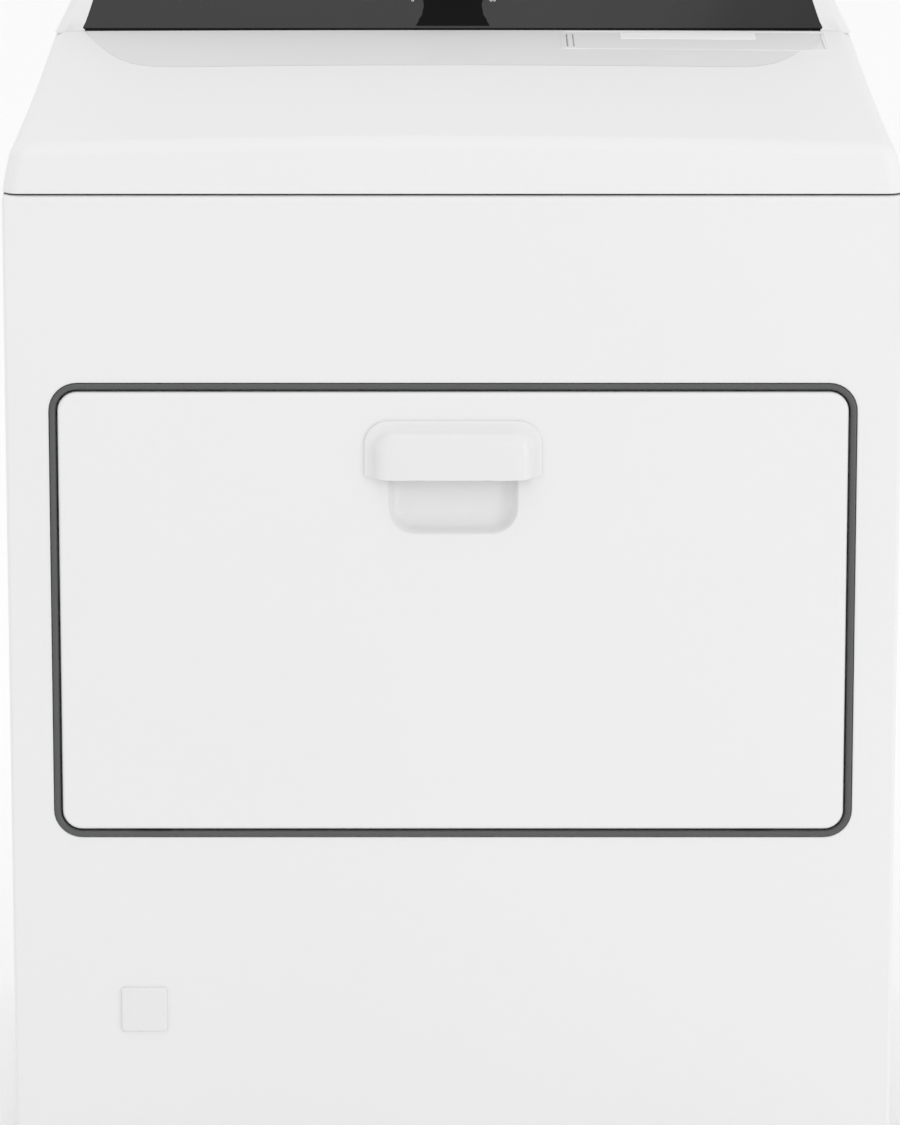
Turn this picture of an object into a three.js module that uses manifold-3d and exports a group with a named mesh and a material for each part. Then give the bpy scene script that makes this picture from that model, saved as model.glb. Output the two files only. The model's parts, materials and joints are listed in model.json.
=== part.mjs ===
// A 29-inch gas clothes dryer: a sheet-steel cabinet with a flush drop-down door, a crowned
// top with a lint screen, and a sloping rear console with a central dial.
// Millimetres, +Z up, the front faces -Y, the origin is the bottom centre of the whole dryer.
import * as THREE from 'three';
import { mergeVertices } from 'three/addons/utils/BufferGeometryUtils.js';
import Module from 'manifold-3d';

const wasm = await Module();
wasm.setup();

// ---- Driving dimensions ----
const GAP = 0.3;
const SHEET = 1.2;
const FINE = 0.01;

const CABINET = { half: 368.3, front: -338, rear: 312, bottom: 14, seam: 864 };
const SHEET_FLANGE = 14;
const BASE_LIP = 20;

const TOP = { height: 53, draft: 4.8, shoulder: 34, crown: 1.6, round: 18, lean: 2, wall: 1.5 };

const DOOR = { z: 514.85, width: 650.5, height: 371.7, corner: 16, face: -339.5, wall: 1.5, depth: 18 };
const RING = { width: 664, height: 385.4, corner: 23, gap: 2.2, proud: 1.2, depth: 5 };
const RECESS_DEPTH = 24;
const MOUTH = { z: 515, width: 560, height: 300, corner: 55 };
const DISH = { width: 540, height: 280, corner: 46, depth: 18 };
const PIVOT = { y: DOOR.face + 5, z: DOOR.z - DOOR.height / 2 + 13 };
const HINGE_X = 250;
const HOOD = { half: 73.5, low: 625.4, high: 674, front: -352, skin: 2.6 };
const POCKET = { half: 54.2, low: 580.8, high: 657, corner: 22, depth: 14, wall: 1.5 };
const LATCH_Z = DOOR.z + 175;
const SWITCH_X = 150;

const DRUM = { z: 505, radius: 336, wall: 1.5, front: -288, rear: 180, sides: 60 };
const COLLAR = { radius: 318, wall: 1.5, reach: 30, sides: 48 };
const FRONT_BULKHEAD = { y: -300, radius: 352, shoulder: 340, top: 848 };
const REAR_BULKHEAD = { y: 188, half: 366, top: 850 };
const SEAL_RADIUS = 333.7;
const BAFFLE = { count: 3, spread: 7.5, height: 62, front: -235, rear: 150 };
const ROLLER = { radius: 38, width: 22, y: 164, bore: 8.3, angle: 40 };
const GRILLE = { x: 185, half: 72, low: 530, high: 680, slots: 5 };

const MOTOR = { x: 215, z: 95, radius: 68, front: 46, rear: 142, shaft: 6.3 };
const PULLEY_RADIUS = 11;
const BELT = { y: 20, width: 8, thickness: 2.2, lift: 0.7 };
const IDLER = { x: 140, z: 102, radius: 25, pivotX: 88, pivotZ: 52 };
const BLOWER = { radius: 78, wheel: 64, front: 244.5, rear: 304, inlet: 42 };
const EXHAUST = { radius: 50.8, half: 51, end: 352, z: 95 };

const LINT = { x: 217.5, half: 120.5, front: 140, rear: 230, slotY: 205, tilt: Math.atan(0.2), length: 280 };
const DUCT_FRONT = REAR_BULKHEAD.y + SHEET + GAP + 2.5;

const BURNER = { x: -259, z: 112 };
const PLUG = { x: -259, z: 172, size: 38.5, stem: 16 };
const GAS_PIPE = { x: -342, z: 44, radius: 8 };

const CONSOLE = { half: 362, taper: 33, front: 236, foot: 917.4, slope: 921, top: 1038, lean: Math.PI / 6 };
const GLASS = { half: 336, narrow: 22, low: 3, high: 121, thickness: 4 };
const DIAL = { s: 66, radius: 31, height: 22 };
const BUTTON = { s: 66, width: 30, height: 14, proud: 1.8, stem: 8 };
const BUTTON_X = { power_button: -268, temperature_button: 150, start_button: 268 };

const FOOT = { x: 318, front: -288, rear: 262, radius: 19, stud: 4.5 };

// ---- Finishes ----
function finish(color, roughness, metalness) {
  return new THREE.MeshStandardMaterial({ color, roughness, metalness });
}
const whiteEnamel = finish(0xeeeff0, 0.28, 0);
const whitePlastic = finish(0xeceded, 0.4, 0);
const greyTrim = finish(0x55585b, 0.5, 0);
const darkGlass = finish(0x2a2c2f, 0.12, 0);
const satinDial = finish(0xb9bcbf, 0.32, 1);
const galvanised = finish(0xa9adb0, 0.45, 1);
const paintedDrum = finish(0xdedfdc, 0.4, 0);
const castMotor = finish(0x3c3f42, 0.55, 0.6);
const steel = finish(0x8d9093, 0.35, 1);
const brass = finish(0xb08d4c, 0.35, 1);
const rubber = finish(0x1d1e1f, 0.8, 0);
const felt = finish(0x8f8a80, 0.95, 0);
const blackPlastic = finish(0x242526, 0.5, 0);
const boardGreen = finish(0x2f6b45, 0.6, 0);

// ---- Solids: build, join and cut ----
function signedVolume(position, index) {
  const a = new THREE.Vector3();
  const b = new THREE.Vector3();
  const c = new THREE.Vector3();
  let volume = 0;
  for (let i = 0; i < index.length; i += 3) {
    a.fromBufferAttribute(position, index[i]);
    b.fromBufferAttribute(position, index[i + 1]);
    c.fromBufferAttribute(position, index[i + 2]);
    volume += a.dot(b.cross(c)) / 6;
  }
  return volume;
}

function solid(geometry) {
  const bare = geometry.clone();
  bare.deleteAttribute('normal');
  bare.deleteAttribute('uv');
  const merged = mergeVertices(bare, FINE);
  const source = Array.from(merged.index.array);
  const outward = signedVolume(merged.attributes.position, source) > 0;
  const triangles = [];
  for (let i = 0; i < source.length; i += 3) {
    const [a, b, c] = source.slice(i, i + 3);
    const flat = a === b || b === c || c === a;
    if (!flat) triangles.push(a, outward ? b : c, outward ? c : b);
  }
  return new wasm.Manifold(new wasm.Mesh({
    numProp: 3,
    vertProperties: new Float32Array(merged.attributes.position.array),
    triVerts: new Uint32Array(triangles),
  }));
}

function join(first, ...others) {
  return others.reduce((whole, piece) => whole.add(piece), first);
}

function cut(first, ...tools) {
  return tools.reduce((rest, tool) => rest.subtract(tool), first);
}

function meshOf(name, body, material) {
  const { vertProperties, triVerts } = body.getMesh();
  const geometry = new THREE.BufferGeometry();
  geometry.setAttribute('position', new THREE.BufferAttribute(new Float32Array(vertProperties), 3));
  geometry.setIndex(new THREE.BufferAttribute(new Uint32Array(triVerts), 1));
  geometry.computeVertexNormals();
  const mesh = new THREE.Mesh(geometry, material);
  mesh.name = name;
  return mesh;
}

// ---- Building blocks ----
function block(x0, x1, y0, y1, z0, z1) {
  const geometry = new THREE.BoxGeometry(x1 - x0, y1 - y0, z1 - z0);
  geometry.translate((x0 + x1) / 2, (y0 + y1) / 2, (z0 + z1) / 2);
  return solid(geometry);
}

// A round bar along X, Y or Z, from one place to another on that axis. The other two
// coordinates, in the order x, y, z, are a and b.
function rod(axis, radius, from, to, a, b, sides = 16) {
  const geometry = new THREE.CylinderGeometry(radius, radius, to - from, sides);
  const middle = (from + to) / 2;
  if (axis === 'x') {
    geometry.rotateZ(Math.PI / 2);
    geometry.translate(middle, a, b);
  }
  if (axis === 'y') geometry.translate(a, middle, b);
  if (axis === 'z') {
    geometry.rotateX(Math.PI / 2);
    geometry.translate(a, b, middle);
  }
  return solid(geometry);
}

// A profile of [radius, y] points turned about a line along Y.
function turned(profile, x, z, sides = 24) {
  const points = profile.map(([radius, y]) => new THREE.Vector2(radius, y));
  const geometry = new THREE.LatheGeometry(points, sides);
  geometry.translate(x, 0, z);
  return solid(geometry);
}

function ring(inner, outer, y0, y1, x, z, sides = COLLAR.sides) {
  return turned([[inner, y0], [outer, y0], [outer, y1], [inner, y1], [inner, y0]], x, z, sides);
}

// A flat outline swept along an axis: outlines are (y, z) for X, (x, z) for Y, (x, y) for Z.
function swept(outline, axis, from, to, curveSegments = 4) {
  const settings = { depth: to - from, bevelEnabled: false, curveSegments };
  const geometry = new THREE.ExtrudeGeometry(outline, settings);
  geometry.translate(0, 0, from);
  const toAxis = new THREE.Matrix4();
  if (axis === 'x') toAxis.set(0, 0, 1, 0, 1, 0, 0, 0, 0, 1, 0, 0, 0, 0, 0, 1);
  if (axis === 'y') toAxis.set(1, 0, 0, 0, 0, 0, 1, 0, 0, 1, 0, 0, 0, 0, 0, 1);
  geometry.applyMatrix4(toAxis);
  return solid(geometry);
}

function outlineOf(points) {
  return new THREE.Shape(points.map(([u, v]) => new THREE.Vector2(u, v)));
}

function roundedRect(u, v, width, height, corner) {
  const right = u + width / 2 - corner;
  const left = u - width / 2 + corner;
  const upper = v + height / 2 - corner;
  const lower = v - height / 2 + corner;
  const shape = new THREE.Shape();
  shape.absarc(right, lower, corner, -Math.PI / 2, 0);
  shape.absarc(right, upper, corner, 0, Math.PI / 2);
  shape.absarc(left, upper, corner, Math.PI / 2, Math.PI);
  shape.absarc(left, lower, corner, Math.PI, 1.5 * Math.PI);
  return shape;
}

// A rounded panel that faces the front, between two places on Y.
function panel(z, width, height, corner, y0, y1, x = 0, curveSegments = 4) {
  return swept(roundedRect(x, z, width, height, corner), 'y', y0, y1, curveSegments);
}

// ---- Cabinet ----
const FRONT_INSIDE = CABINET.front + SHEET;
const REAR_INSIDE = CABINET.rear - SHEET;
const SIDE_INSIDE = CABINET.half - SHEET;
const CABINET_TOP = CABINET.seam - GAP;

// A tray with an upturned lip all round, and a stand on the floor that carries the idler arm's pin.
function basePan() {
  const half = SIDE_INSIDE - GAP;
  const y0 = FRONT_INSIDE + GAP;
  const y1 = REAR_INSIDE - GAP;
  const low = CABINET.bottom;
  const tray = cut(
    block(-half, half, y0, y1, low, low + BASE_LIP),
    block(-half + SHEET, half - SHEET, y0 + SHEET, y1 - SHEET, low + SHEET, low + BASE_LIP + 1),
  );
  const stand = block(IDLER.pivotX - 16, IDLER.pivotX + 16, 36, 39, low, IDLER.pivotZ + 12);
  const pin = rod('y', 4, 27, 38, IDLER.pivotX, IDLER.pivotZ);
  const studHoles = footPlaces().map(({ x, y }) => rod('z', FOOT.stud + GAP, 0, 40, x, y));
  return cut(join(tray, stand, pin), ...studHoles);
}

// A flat side with its front and rear edges folded inwards.
function sidePanel(side) {
  const outer = side * CABINET.half;
  const inner = side * SIDE_INSIDE;
  const edge = side * (SIDE_INSIDE - SHEET_FLANGE);
  const y0 = FRONT_INSIDE + GAP;
  const y1 = REAR_INSIDE - GAP;
  const z1 = CABINET_TOP;
  const sorted = (a, b) => [Math.min(a, b), Math.max(a, b)];
  const flanges = [[y0, y0 + SHEET], [y1 - SHEET, y1]].map(([a, b]) =>
    block(...sorted(edge, outer), a, b, CABINET.bottom + BASE_LIP + 2, z1));
  return join(block(...sorted(inner, outer), y0, y1, CABINET.bottom, z1), ...flanges);
}

// The back sheet, with the exhaust and gas-pipe holes, a rimmed hole for the supply lead, and
// louvre slots that let room air in to the burner.
function rearPanel() {
  const y0 = REAR_INSIDE;
  const y1 = CABINET.rear;
  const lead = { x: 335, z: 84, hole: 11, rim: 15 };
  const sheet = block(-CABINET.half, CABINET.half, y0, y1, CABINET.bottom, CABINET_TOP);
  const rim = rod('y', lead.rim, y0, y1 + 2.5, lead.x, lead.z);
  const louvres = [];
  for (let row = 0; row < 6; row += 1) {
    const z = 760 - 14 * row;
    louvres.push(block(-300, -230, y0 - 1, y1 + 1, z, z + 5));
  }
  return cut(
    join(sheet, rim),
    rod('y', EXHAUST.radius + 2, y0 - 1, y1 + 1, 0, EXHAUST.z, 32),
    rod('y', GAS_PIPE.radius + 4, y0 - 1, y1 + 1, GAS_PIPE.x, GAS_PIPE.z),
    rod('y', lead.hole, y0 - 1, y1 + 4, lead.x, lead.z),
    ...louvres,
  );
}

// The front sheet, with a recess formed for the flush door and the drum's mouth in its floor.
function frontPanel() {
  const { front } = CABINET;
  const floor = front + RECESS_DEPTH;
  const well = { width: RING.width + 2 * GAP, height: RING.height + 2 * GAP, corner: RING.corner + GAP };
  const grow = 2 * SHEET;
  const sheet = block(-CABINET.half, CABINET.half, front, FRONT_INSIDE, CABINET.bottom, CABINET_TOP);
  const walls = panel(DOOR.z, well.width + grow, well.height + grow, well.corner + SHEET,
    front, floor + SHEET);
  return cut(
    join(sheet, walls),
    panel(DOOR.z, well.width, well.height, well.corner, front - 1, floor),
    panel(MOUTH.z, MOUTH.width, MOUTH.height, MOUTH.corner, floor - 1, floor + 9),
    block(-12, 12, floor - 1, floor + 9, LATCH_Z - 7, LATCH_Z + 7),
    rod('y', 4, floor - 1, floor + 9, SWITCH_X, LATCH_Z, 16),
    block(PLUG.x - 17, PLUG.x + 17, front - 1, FRONT_INSIDE + 1, PLUG.z - 17, PLUG.z + 17),
  );
}

// The soft-edged outside of the top, drawn inwards by an offset: the meeting of a crowned
// outline seen from the front and a rounded outline seen from the side.
function topForm(inset, low) {
  const { draft, shoulder, crown, round, lean, height } = TOP;
  const side = CABINET.half - inset;
  const edge = side - draft;
  const top = CABINET.seam + height - inset;
  const bend = CABINET.seam + shoulder;
  const face = new THREE.Shape();
  face.moveTo(-side, low);
  face.lineTo(side, low);
  face.lineTo(edge, bend);
  face.quadraticCurveTo(edge, top - crown, edge - round, top - crown);
  face.quadraticCurveTo(0, top + crown, -edge + round, top - crown);
  face.quadraticCurveTo(-edge, top - crown, -edge, bend);
  const front = CABINET.front + inset;
  const nose = front + lean;
  const profile = new THREE.Shape();
  profile.moveTo(front, low);
  profile.lineTo(CABINET.rear - inset, low);
  profile.lineTo(CABINET.rear - inset, top + 2);
  profile.lineTo(nose + round + 8, top + 2);
  profile.quadraticCurveTo(nose, top - 1, nose, bend);
  const wide = swept(face, 'y', CABINET.front - 5, CABINET.rear + 5, 8);
  return wide.intersect(swept(profile, 'x', -CABINET.half - 5, CABINET.half + 5, 8));
}

function topPanel() {
  const slotHalf = LINT.half - 5;
  return cut(
    topForm(0, CABINET.seam),
    topForm(TOP.wall, CABINET.seam - 1),
    block(LINT.x - slotHalf, LINT.x + slotHalf, LINT.slotY - 8, LINT.slotY + 9, 890, 930),
  );
}

function accessPlug() {
  const cap = panel(PLUG.z, PLUG.size, PLUG.size, 2.5, CABINET.front - 2.2, CABINET.front - GAP, PLUG.x, 2);
  const { x, z, stem: half } = PLUG;
  const inner = half - 2;
  const stem = block(x - half, x + half, CABINET.front - 1, CABINET.front + 9, z - half, z + half);
  const hollow = block(x - inner, x + inner, CABINET.front + 1, CABINET.front + 10, z - inner, z + inner);
  return cut(join(cap, stem), hollow);
}

function footPlaces() {
  const places = [];
  for (const [end, y] of [['front', FOOT.front], ['rear', FOOT.rear]]) {
    for (const [side, x] of [['left', -FOOT.x], ['right', FOOT.x]]) {
      places.push({ name: `foot_${end}_${side}`, x, y });
    }
  }
  return places;
}

// A levelling foot: a broad pad under a threaded stud.
function foot(x, y) {
  const { radius, stud } = FOOT;
  const profile = [[0, 0], [radius - 2, 0], [radius, 2], [radius, 6], [radius - 5, 10],
    [9, 13.5], [stud, 13.5], [stud, 34], [0, 34]];
  const geometry = new THREE.LatheGeometry(profile.map(([r, z]) => new THREE.Vector2(r, z)), 14);
  geometry.rotateX(Math.PI / 2);
  geometry.translate(x, y, 0);
  return solid(geometry);
}

// ---- Door ----
function trimRing() {
  const y0 = CABINET.front - RING.proud;
  const y1 = y0 + RING.depth;
  const inner = { width: DOOR.width + 2 * RING.gap, height: DOOR.height + 2 * RING.gap };
  return cut(
    panel(DOOR.z, RING.width, RING.height, RING.corner, y0, y1),
    panel(DOOR.z, inner.width, inner.height, DOOR.corner + RING.gap, y0 - 1, y1 + 1),
  );
}

function hingeNotches() {
  return [-1, 1].map((side) => {
    const x = side * HINGE_X;
    return block(x - 15, x + 15, DOOR.face + DOOR.wall, -290, PIVOT.z - 20, PIVOT.z + 3.8);
  });
}

function doorOuterPanel() {
  const { z, width, height, corner, face, wall, depth } = DOOR;
  const middle = (POCKET.low + POCKET.high) / 2;
  const skirt = POCKET.wall + 0.5;
  return cut(
    panel(z, width, height, corner, face, face + depth),
    panel(z, width - 2 * wall, height - 2 * wall, corner - wall, face + wall, face + depth + 1),
    panel(middle, 2 * (POCKET.half + skirt), POCKET.high - POCKET.low + 2 * skirt, POCKET.corner + skirt,
      face - 1, face + 4),
    ...hingeNotches(),
  );
}

// The inside of the door, pressed into a shallow dish that fills the mouth.
function doorInnerPanel() {
  const y0 = DOOR.face + DOOR.depth + GAP;
  const reach = y0 + DISH.depth;
  return cut(
    join(
      panel(DOOR.z, DOOR.width - 4, DOOR.height - 4, DOOR.corner - 2, y0, y0 + SHEET),
      panel(MOUTH.z, DISH.width, DISH.height, DISH.corner, y0, reach),
    ),
    panel(MOUTH.z, DISH.width - 2 * SHEET, DISH.height - 2 * SHEET, DISH.corner - SHEET,
      y0 - 1, reach - SHEET),
    ...hingeNotches(),
  );
}

function hoodProfile(inset) {
  const back = CABINET.front - 2.8;
  const low = HOOD.low - (inset > 0 ? 4 : 0);
  const high = HOOD.high - inset;
  const front = HOOD.front + inset;
  const shape = new THREE.Shape();
  shape.moveTo(back, low);
  shape.lineTo(back, high);
  shape.bezierCurveTo(front + 5, high, front, high - 6, front, high - 22);
  shape.lineTo(front, low);
  return shape;
}

// The moulded handle: a hood to pull on, and the finger pocket that it shades, in one piece.
function doorHandle() {
  const { half, low, high, skin } = HOOD;
  const flangeFront = CABINET.front - 2.8;
  const flangeBack = DOOR.face - GAP;
  const pocketZ = (POCKET.low + POCKET.high) / 2;
  const pocketHeight = POCKET.high - POCKET.low;
  const { wall } = POCKET;
  const hoodZ = (low + high) / 2;
  const tub = panel(pocketZ, 2 * (POCKET.half + wall), pocketHeight + 2 * wall, POCKET.corner + wall,
    flangeFront, DOOR.face + POCKET.depth + wall);
  const hood = swept(hoodProfile(0), 'x', -half, half);
  const corners = panel(hoodZ - 10, 2 * half, high - low + 20, 20, HOOD.front - 1, flangeBack);
  const flange = panel(hoodZ, 2 * half, high - low, 3, flangeFront, flangeBack);
  return cut(
    join(hood, flange).intersect(corners).add(tub),
    panel(pocketZ, 2 * POCKET.half, pocketHeight, POCKET.corner, flangeFront - 1, DOOR.face + POCKET.depth),
    swept(hoodProfile(skin), 'x', -half + skin, half - skin),
  );
}

// A barrel on the door's pin, with a leaf that is fixed to the back of the outer skin.
function doorHinge(side) {
  const x = side * HINGE_X;
  const leafY = DOOR.face + DOOR.wall + GAP;
  const leaf = block(x - 9, x + 9, leafY, leafY + 1.6, PIVOT.z, PIVOT.z + 42);
  return cut(
    join(rod('x', 3, x - 9.5, x + 9.5, PIVOT.y, PIVOT.z), leaf),
    rod('x', 2, x - 11, x + 11, PIVOT.y, PIVOT.z, 20),
  );
}

// Two ears on a back plate that stands on the recess floor, with the hinge pin between them.
function hingeBracket(side) {
  const x = side * HINGE_X;
  const floor = CABINET.front + RECESS_DEPTH - GAP;
  const plate = block(x - 13, x + 13, floor - SHEET, floor, PIVOT.z - 9, PIVOT.z + 9);
  const ear = new THREE.Shape();
  ear.moveTo(floor - 0.5, PIVOT.z + 3);
  ear.absarc(PIVOT.y, PIVOT.z, 2.8, Math.PI / 2, 1.5 * Math.PI);
  ear.lineTo(floor - 0.5, PIVOT.z - 3);
  const ears = [x - 12, x + 10].map((from) => swept(ear, 'x', from, from + 2, 4));
  return join(plate, ...ears, rod('x', 1.6, x - 11, x + 11, PIVOT.y, PIVOT.z, 20));
}

// A flat tongue with a rounded head, on the inside of the door's top edge.
function doorStrike() {
  const y0 = DOOR.face + DOOR.depth + GAP + SHEET + GAP;
  const plate = block(-14, 14, y0, y0 + 1.5, LATCH_Z - 8, LATCH_Z + 8);
  const tongue = block(-5, 5, y0, y0 + 13, LATCH_Z - 1.2, LATCH_Z + 1.2);
  return join(plate, tongue, rod('x', 2.4, -5, 5, y0 + 13, LATCH_Z, 16));
}

// The catch behind the recess floor, with a slot that the strike's head enters.
function doorCatch() {
  const floor = CABINET.front + RECESS_DEPTH + SHEET + GAP;
  const body = block(-19, 19, floor, FRONT_BULKHEAD.y - 0.5, LATCH_Z - 11, LATCH_Z + 11);
  return cut(body, block(-8, 8, floor - 1, floor + 14, LATCH_Z - 5, LATCH_Z + 5));
}

function doorSwitch() {
  const floor = CABINET.front + RECESS_DEPTH + SHEET + GAP;
  const body = block(SWITCH_X - 10, SWITCH_X + 10, floor, FRONT_BULKHEAD.y - 0.5, LATCH_Z - 8, LATCH_Z + 8);
  return cut(body, rod('y', 3.5, floor - 1, floor + 10.5, SWITCH_X, LATCH_Z, 16));
}

function doorSwitchPlunger() {
  const tip = DOOR.face + DOOR.depth + GAP + SHEET + 0.4;
  const tail = CABINET.front + RECESS_DEPTH + SHEET + GAP + 7;
  return turned([[0, tip], [2, tip], [3, tip + 1], [3, tail], [0, tail]], SWITCH_X, LATCH_Z, 16);
}

// ---- Drum and what carries it ----
function grilleSlots(side, y0, y1) {
  const pitch = (GRILLE.high - GRILLE.low) / GRILLE.slots;
  const slots = [];
  for (let row = 0; row < GRILLE.slots; row += 1) {
    const z = GRILLE.low + pitch * (row + 0.5);
    slots.push(block(side * GRILLE.x - GRILLE.half, side * GRILLE.x + GRILLE.half, y0, y1, z - 9, z + 9));
  }
  return slots;
}

// The wall behind the front sheet: the mouth, and a collar that the drum's front edge runs on.
function frontBulkhead() {
  const { y, radius, shoulder, top } = FRONT_BULKHEAD;
  const back = y + SHEET;
  const wall = join(
    rod('y', radius, y, back, 0, DRUM.z, COLLAR.sides),
    block(-shoulder, shoulder, y, back, DRUM.z + 70, top),
  );
  const collar = ring(COLLAR.radius - COLLAR.wall, COLLAR.radius, y, back + COLLAR.reach, 0, DRUM.z);
  return cut(
    join(wall, collar),
    panel(MOUTH.z, MOUTH.width, MOUTH.height, MOUTH.corner, y - 1, back + 1),
  );
}

// The wall behind the drum: a warm-air grille on the left, an outlet grille on the right,
// a collar for the felt, and holes for the burner's funnel and the motor's shaft.
function rearBulkhead() {
  const { y, half, top } = REAR_BULKHEAD;
  const back = y + SHEET;
  const low = CABINET.bottom + SHEET + GAP;
  const wall = block(-half + SHEET, half - SHEET, y, back, low, top);
  const collar = ring(COLLAR.radius - COLLAR.wall, COLLAR.radius, y - COLLAR.reach, back, 0, DRUM.z);
  return cut(
    join(wall, collar),
    rod('y', 60, y - 1, back + 1, BURNER.x, BURNER.z, 24),
    rod('y', 12, y - 1, back + 1, MOTOR.x, MOTOR.z),
    rod('y', GAS_PIPE.radius + 2, y - 1, back + 1, GAS_PIPE.x, GAS_PIPE.z),
    ...grilleSlots(-1, y - 1, back + 1),
    ...grilleSlots(1, y - 1, back + 1),
  );
}

function drumShell() {
  const { radius, wall, front, rear, z, sides } = DRUM;
  return ring(radius - wall, radius, front, rear, 0, z, sides);
}

// A lifting baffle on the drum's inside: broad where it meets the shell, with a rounded crest.
function baffle(turn) {
  const { spread, height, front, rear } = BAFFLE;
  const seat = DRUM.radius - DRUM.wall - 0.8;
  const crest = seat - height;
  const half = THREE.MathUtils.degToRad(spread);
  const section = new THREE.Shape();
  section.absarc(0, 0, seat, turn - half, turn + half);
  const side = (angle, r) => [r * Math.cos(angle), r * Math.sin(angle)];
  section.quadraticCurveTo(...side(turn + half * 0.3, seat - 10), ...side(turn + half * 0.35, crest + 10));
  section.quadraticCurveTo(...side(turn, crest - 8), ...side(turn - half * 0.35, crest + 10));
  section.quadraticCurveTo(...side(turn - half * 0.3, seat - 10), ...side(turn - half, seat));
  const settings = { depth: rear - front, bevelEnabled: false, curveSegments: 6 };
  const geometry = new THREE.ExtrudeGeometry(section, settings);
  geometry.rotateX(Math.PI / 2);
  geometry.translate(0, rear, DRUM.z);
  return solid(geometry);
}

function frontDrumBearing() {
  const y0 = FRONT_BULKHEAD.y + SHEET + 8;
  return ring(COLLAR.radius + GAP, SEAL_RADIUS, y0, y0 + 18, 0, DRUM.z);
}

function rearFeltSeal() {
  const y1 = DRUM.rear - 2;
  return ring(COLLAR.radius + GAP, SEAL_RADIUS, y1 - 16, y1, 0, DRUM.z);
}

function rollerPlace(side) {
  const angle = THREE.MathUtils.degToRad(ROLLER.angle);
  const reach = DRUM.radius + ROLLER.radius + 0.8;
  return { x: side * reach * Math.sin(angle), z: DRUM.z - reach * Math.cos(angle) };
}

function drumRoller(side) {
  const { x, z } = rollerPlace(side);
  const { radius, width, y, bore } = ROLLER;
  const half = width / 2;
  return turned([
    [bore, y - half], [15, y - half], [17, y - 6], [radius - 8, y - half], [radius, y - half],
    [radius, y + half], [radius - 8, y + half], [17, y + 6], [15, y + half], [bore, y + half],
    [bore, y - half],
  ], x, z, 20);
}

// A fixed axle that is riveted to the rear bulkhead, with a shoulder behind the roller.
function rollerShaft(side) {
  const { x, z } = rollerPlace(side);
  const { width, y, bore } = ROLLER;
  const back = REAR_BULKHEAD.y - GAP;
  const tip = y - width / 2 - 4;
  const radius = bore - GAP - 0.2;
  return turned([
    [0, tip], [radius, tip], [radius, back - 10], [13, back - 10],
    [13, back - 4], [18, back - 4], [18, back], [0, back],
  ], x, z, 16);
}

// ---- Motor, belt and blower ----
function motor() {
  const { x, z, radius, front, rear, shaft } = MOTOR;
  const bore = shaft + 0.5;
  const low = CABINET.bottom + SHEET + GAP;
  const frame = turned([
    [bore, front], [22, front], [24, front + 6], [radius - 8, front + 8], [radius, front + 16],
    [radius, rear - 16], [radius - 8, rear - 8], [24, rear - 6], [22, rear], [bore, rear], [bore, front],
  ], x, z, 20);
  const cradle = block(x - 52, x + 52, front + 20, rear - 20, low, z - 42);
  const throat = rod('y', radius - 2, front, rear, x, z, 20);
  const switchBox = block(x - 30, x + 26, front + 30, rear - 30, z + radius - 8, z + radius + 16);
  return join(frame, cut(join(cradle, switchBox), throat));
}

function motorShaft() {
  const { x, z, shaft } = MOTOR;
  return rod('y', shaft, BELT.y - 16, BLOWER.rear - 8, x, z);
}

function motorPulley() {
  const { x, z, shaft } = MOTOR;
  const bore = shaft + 0.3;
  const half = BELT.width / 2;
  const flange = PULLEY_RADIUS + 3.6;
  const { y } = BELT;
  return turned([
    [bore, y - half - 4], [flange, y - half - 4], [flange, y - half - 2], [PULLEY_RADIUS, y - half - 1],
    [PULLEY_RADIUS, y + half + 1], [flange, y + half + 2], [flange, y + half + 4], [bore, y + half + 4],
    [bore, y - half - 4],
  ], x, z, 20);
}

// The belt runs inside the drum and motor pulley's loop and bends back over the idler. Each
// wheel is a circle with a sign: positive where the belt's inner side lies on it.
function beltOutline(offset) {
  const middle = BELT.lift + BELT.thickness / 2;
  const wheels = [
    { x: 0, z: DRUM.z, r: DRUM.radius + middle + offset, steps: 48 },
    { x: IDLER.x, z: IDLER.z, r: -(IDLER.radius + middle - offset), steps: 8 },
    { x: MOTOR.x, z: MOTOR.z, r: PULLEY_RADIUS + middle + offset, steps: 10 },
  ];
  const tangent = (from, to) => {
    const dx = to.x - from.x;
    const dz = to.z - from.z;
    return Math.atan2(dz, dx) - Math.acos((from.r - to.r) / Math.hypot(dx, dz));
  };
  const points = [];
  wheels.forEach((wheel, i) => {
    const start = tangent(wheels[(i + wheels.length - 1) % wheels.length], wheel);
    const end = tangent(wheel, wheels[(i + 1) % wheels.length]);
    const full = 2 * Math.PI;
    const turn = wheel.r > 0 ? (end - start + 2 * full) % full : -((start - end + 2 * full) % full);
    for (let step = 0; step <= wheel.steps; step += 1) {
      const angle = start + turn * step / wheel.steps;
      points.push([wheel.x + wheel.r * Math.cos(angle), wheel.z + wheel.r * Math.sin(angle)]);
    }
  });
  return outlineOf(points);
}

function drumBelt() {
  const y0 = BELT.y - BELT.width / 2;
  const y1 = BELT.y + BELT.width / 2;
  return cut(
    swept(beltOutline(BELT.thickness / 2), 'y', y0, y1),
    swept(beltOutline(-BELT.thickness / 2), 'y', y0 - 1, y1 + 1),
  );
}

// A flat link that swings on the base's pin and carries the idler wheel's axle.
function idlerArm() {
  const { x, z, pivotX, pivotZ } = IDLER;
  const angle = Math.atan2(z - pivotZ, x - pivotX);
  const link = new THREE.Shape();
  link.absarc(x, z, 11, angle - Math.PI / 2, angle + Math.PI / 2);
  link.absarc(pivotX, pivotZ, 11, angle + Math.PI / 2, angle + 1.5 * Math.PI);
  return cut(
    join(swept(link, 'y', 30.5, 33.5), rod('y', 5, BELT.y - 9, 31, x, z)),
    rod('y', 4.6, 30, 34, pivotX, pivotZ),
  );
}

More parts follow.
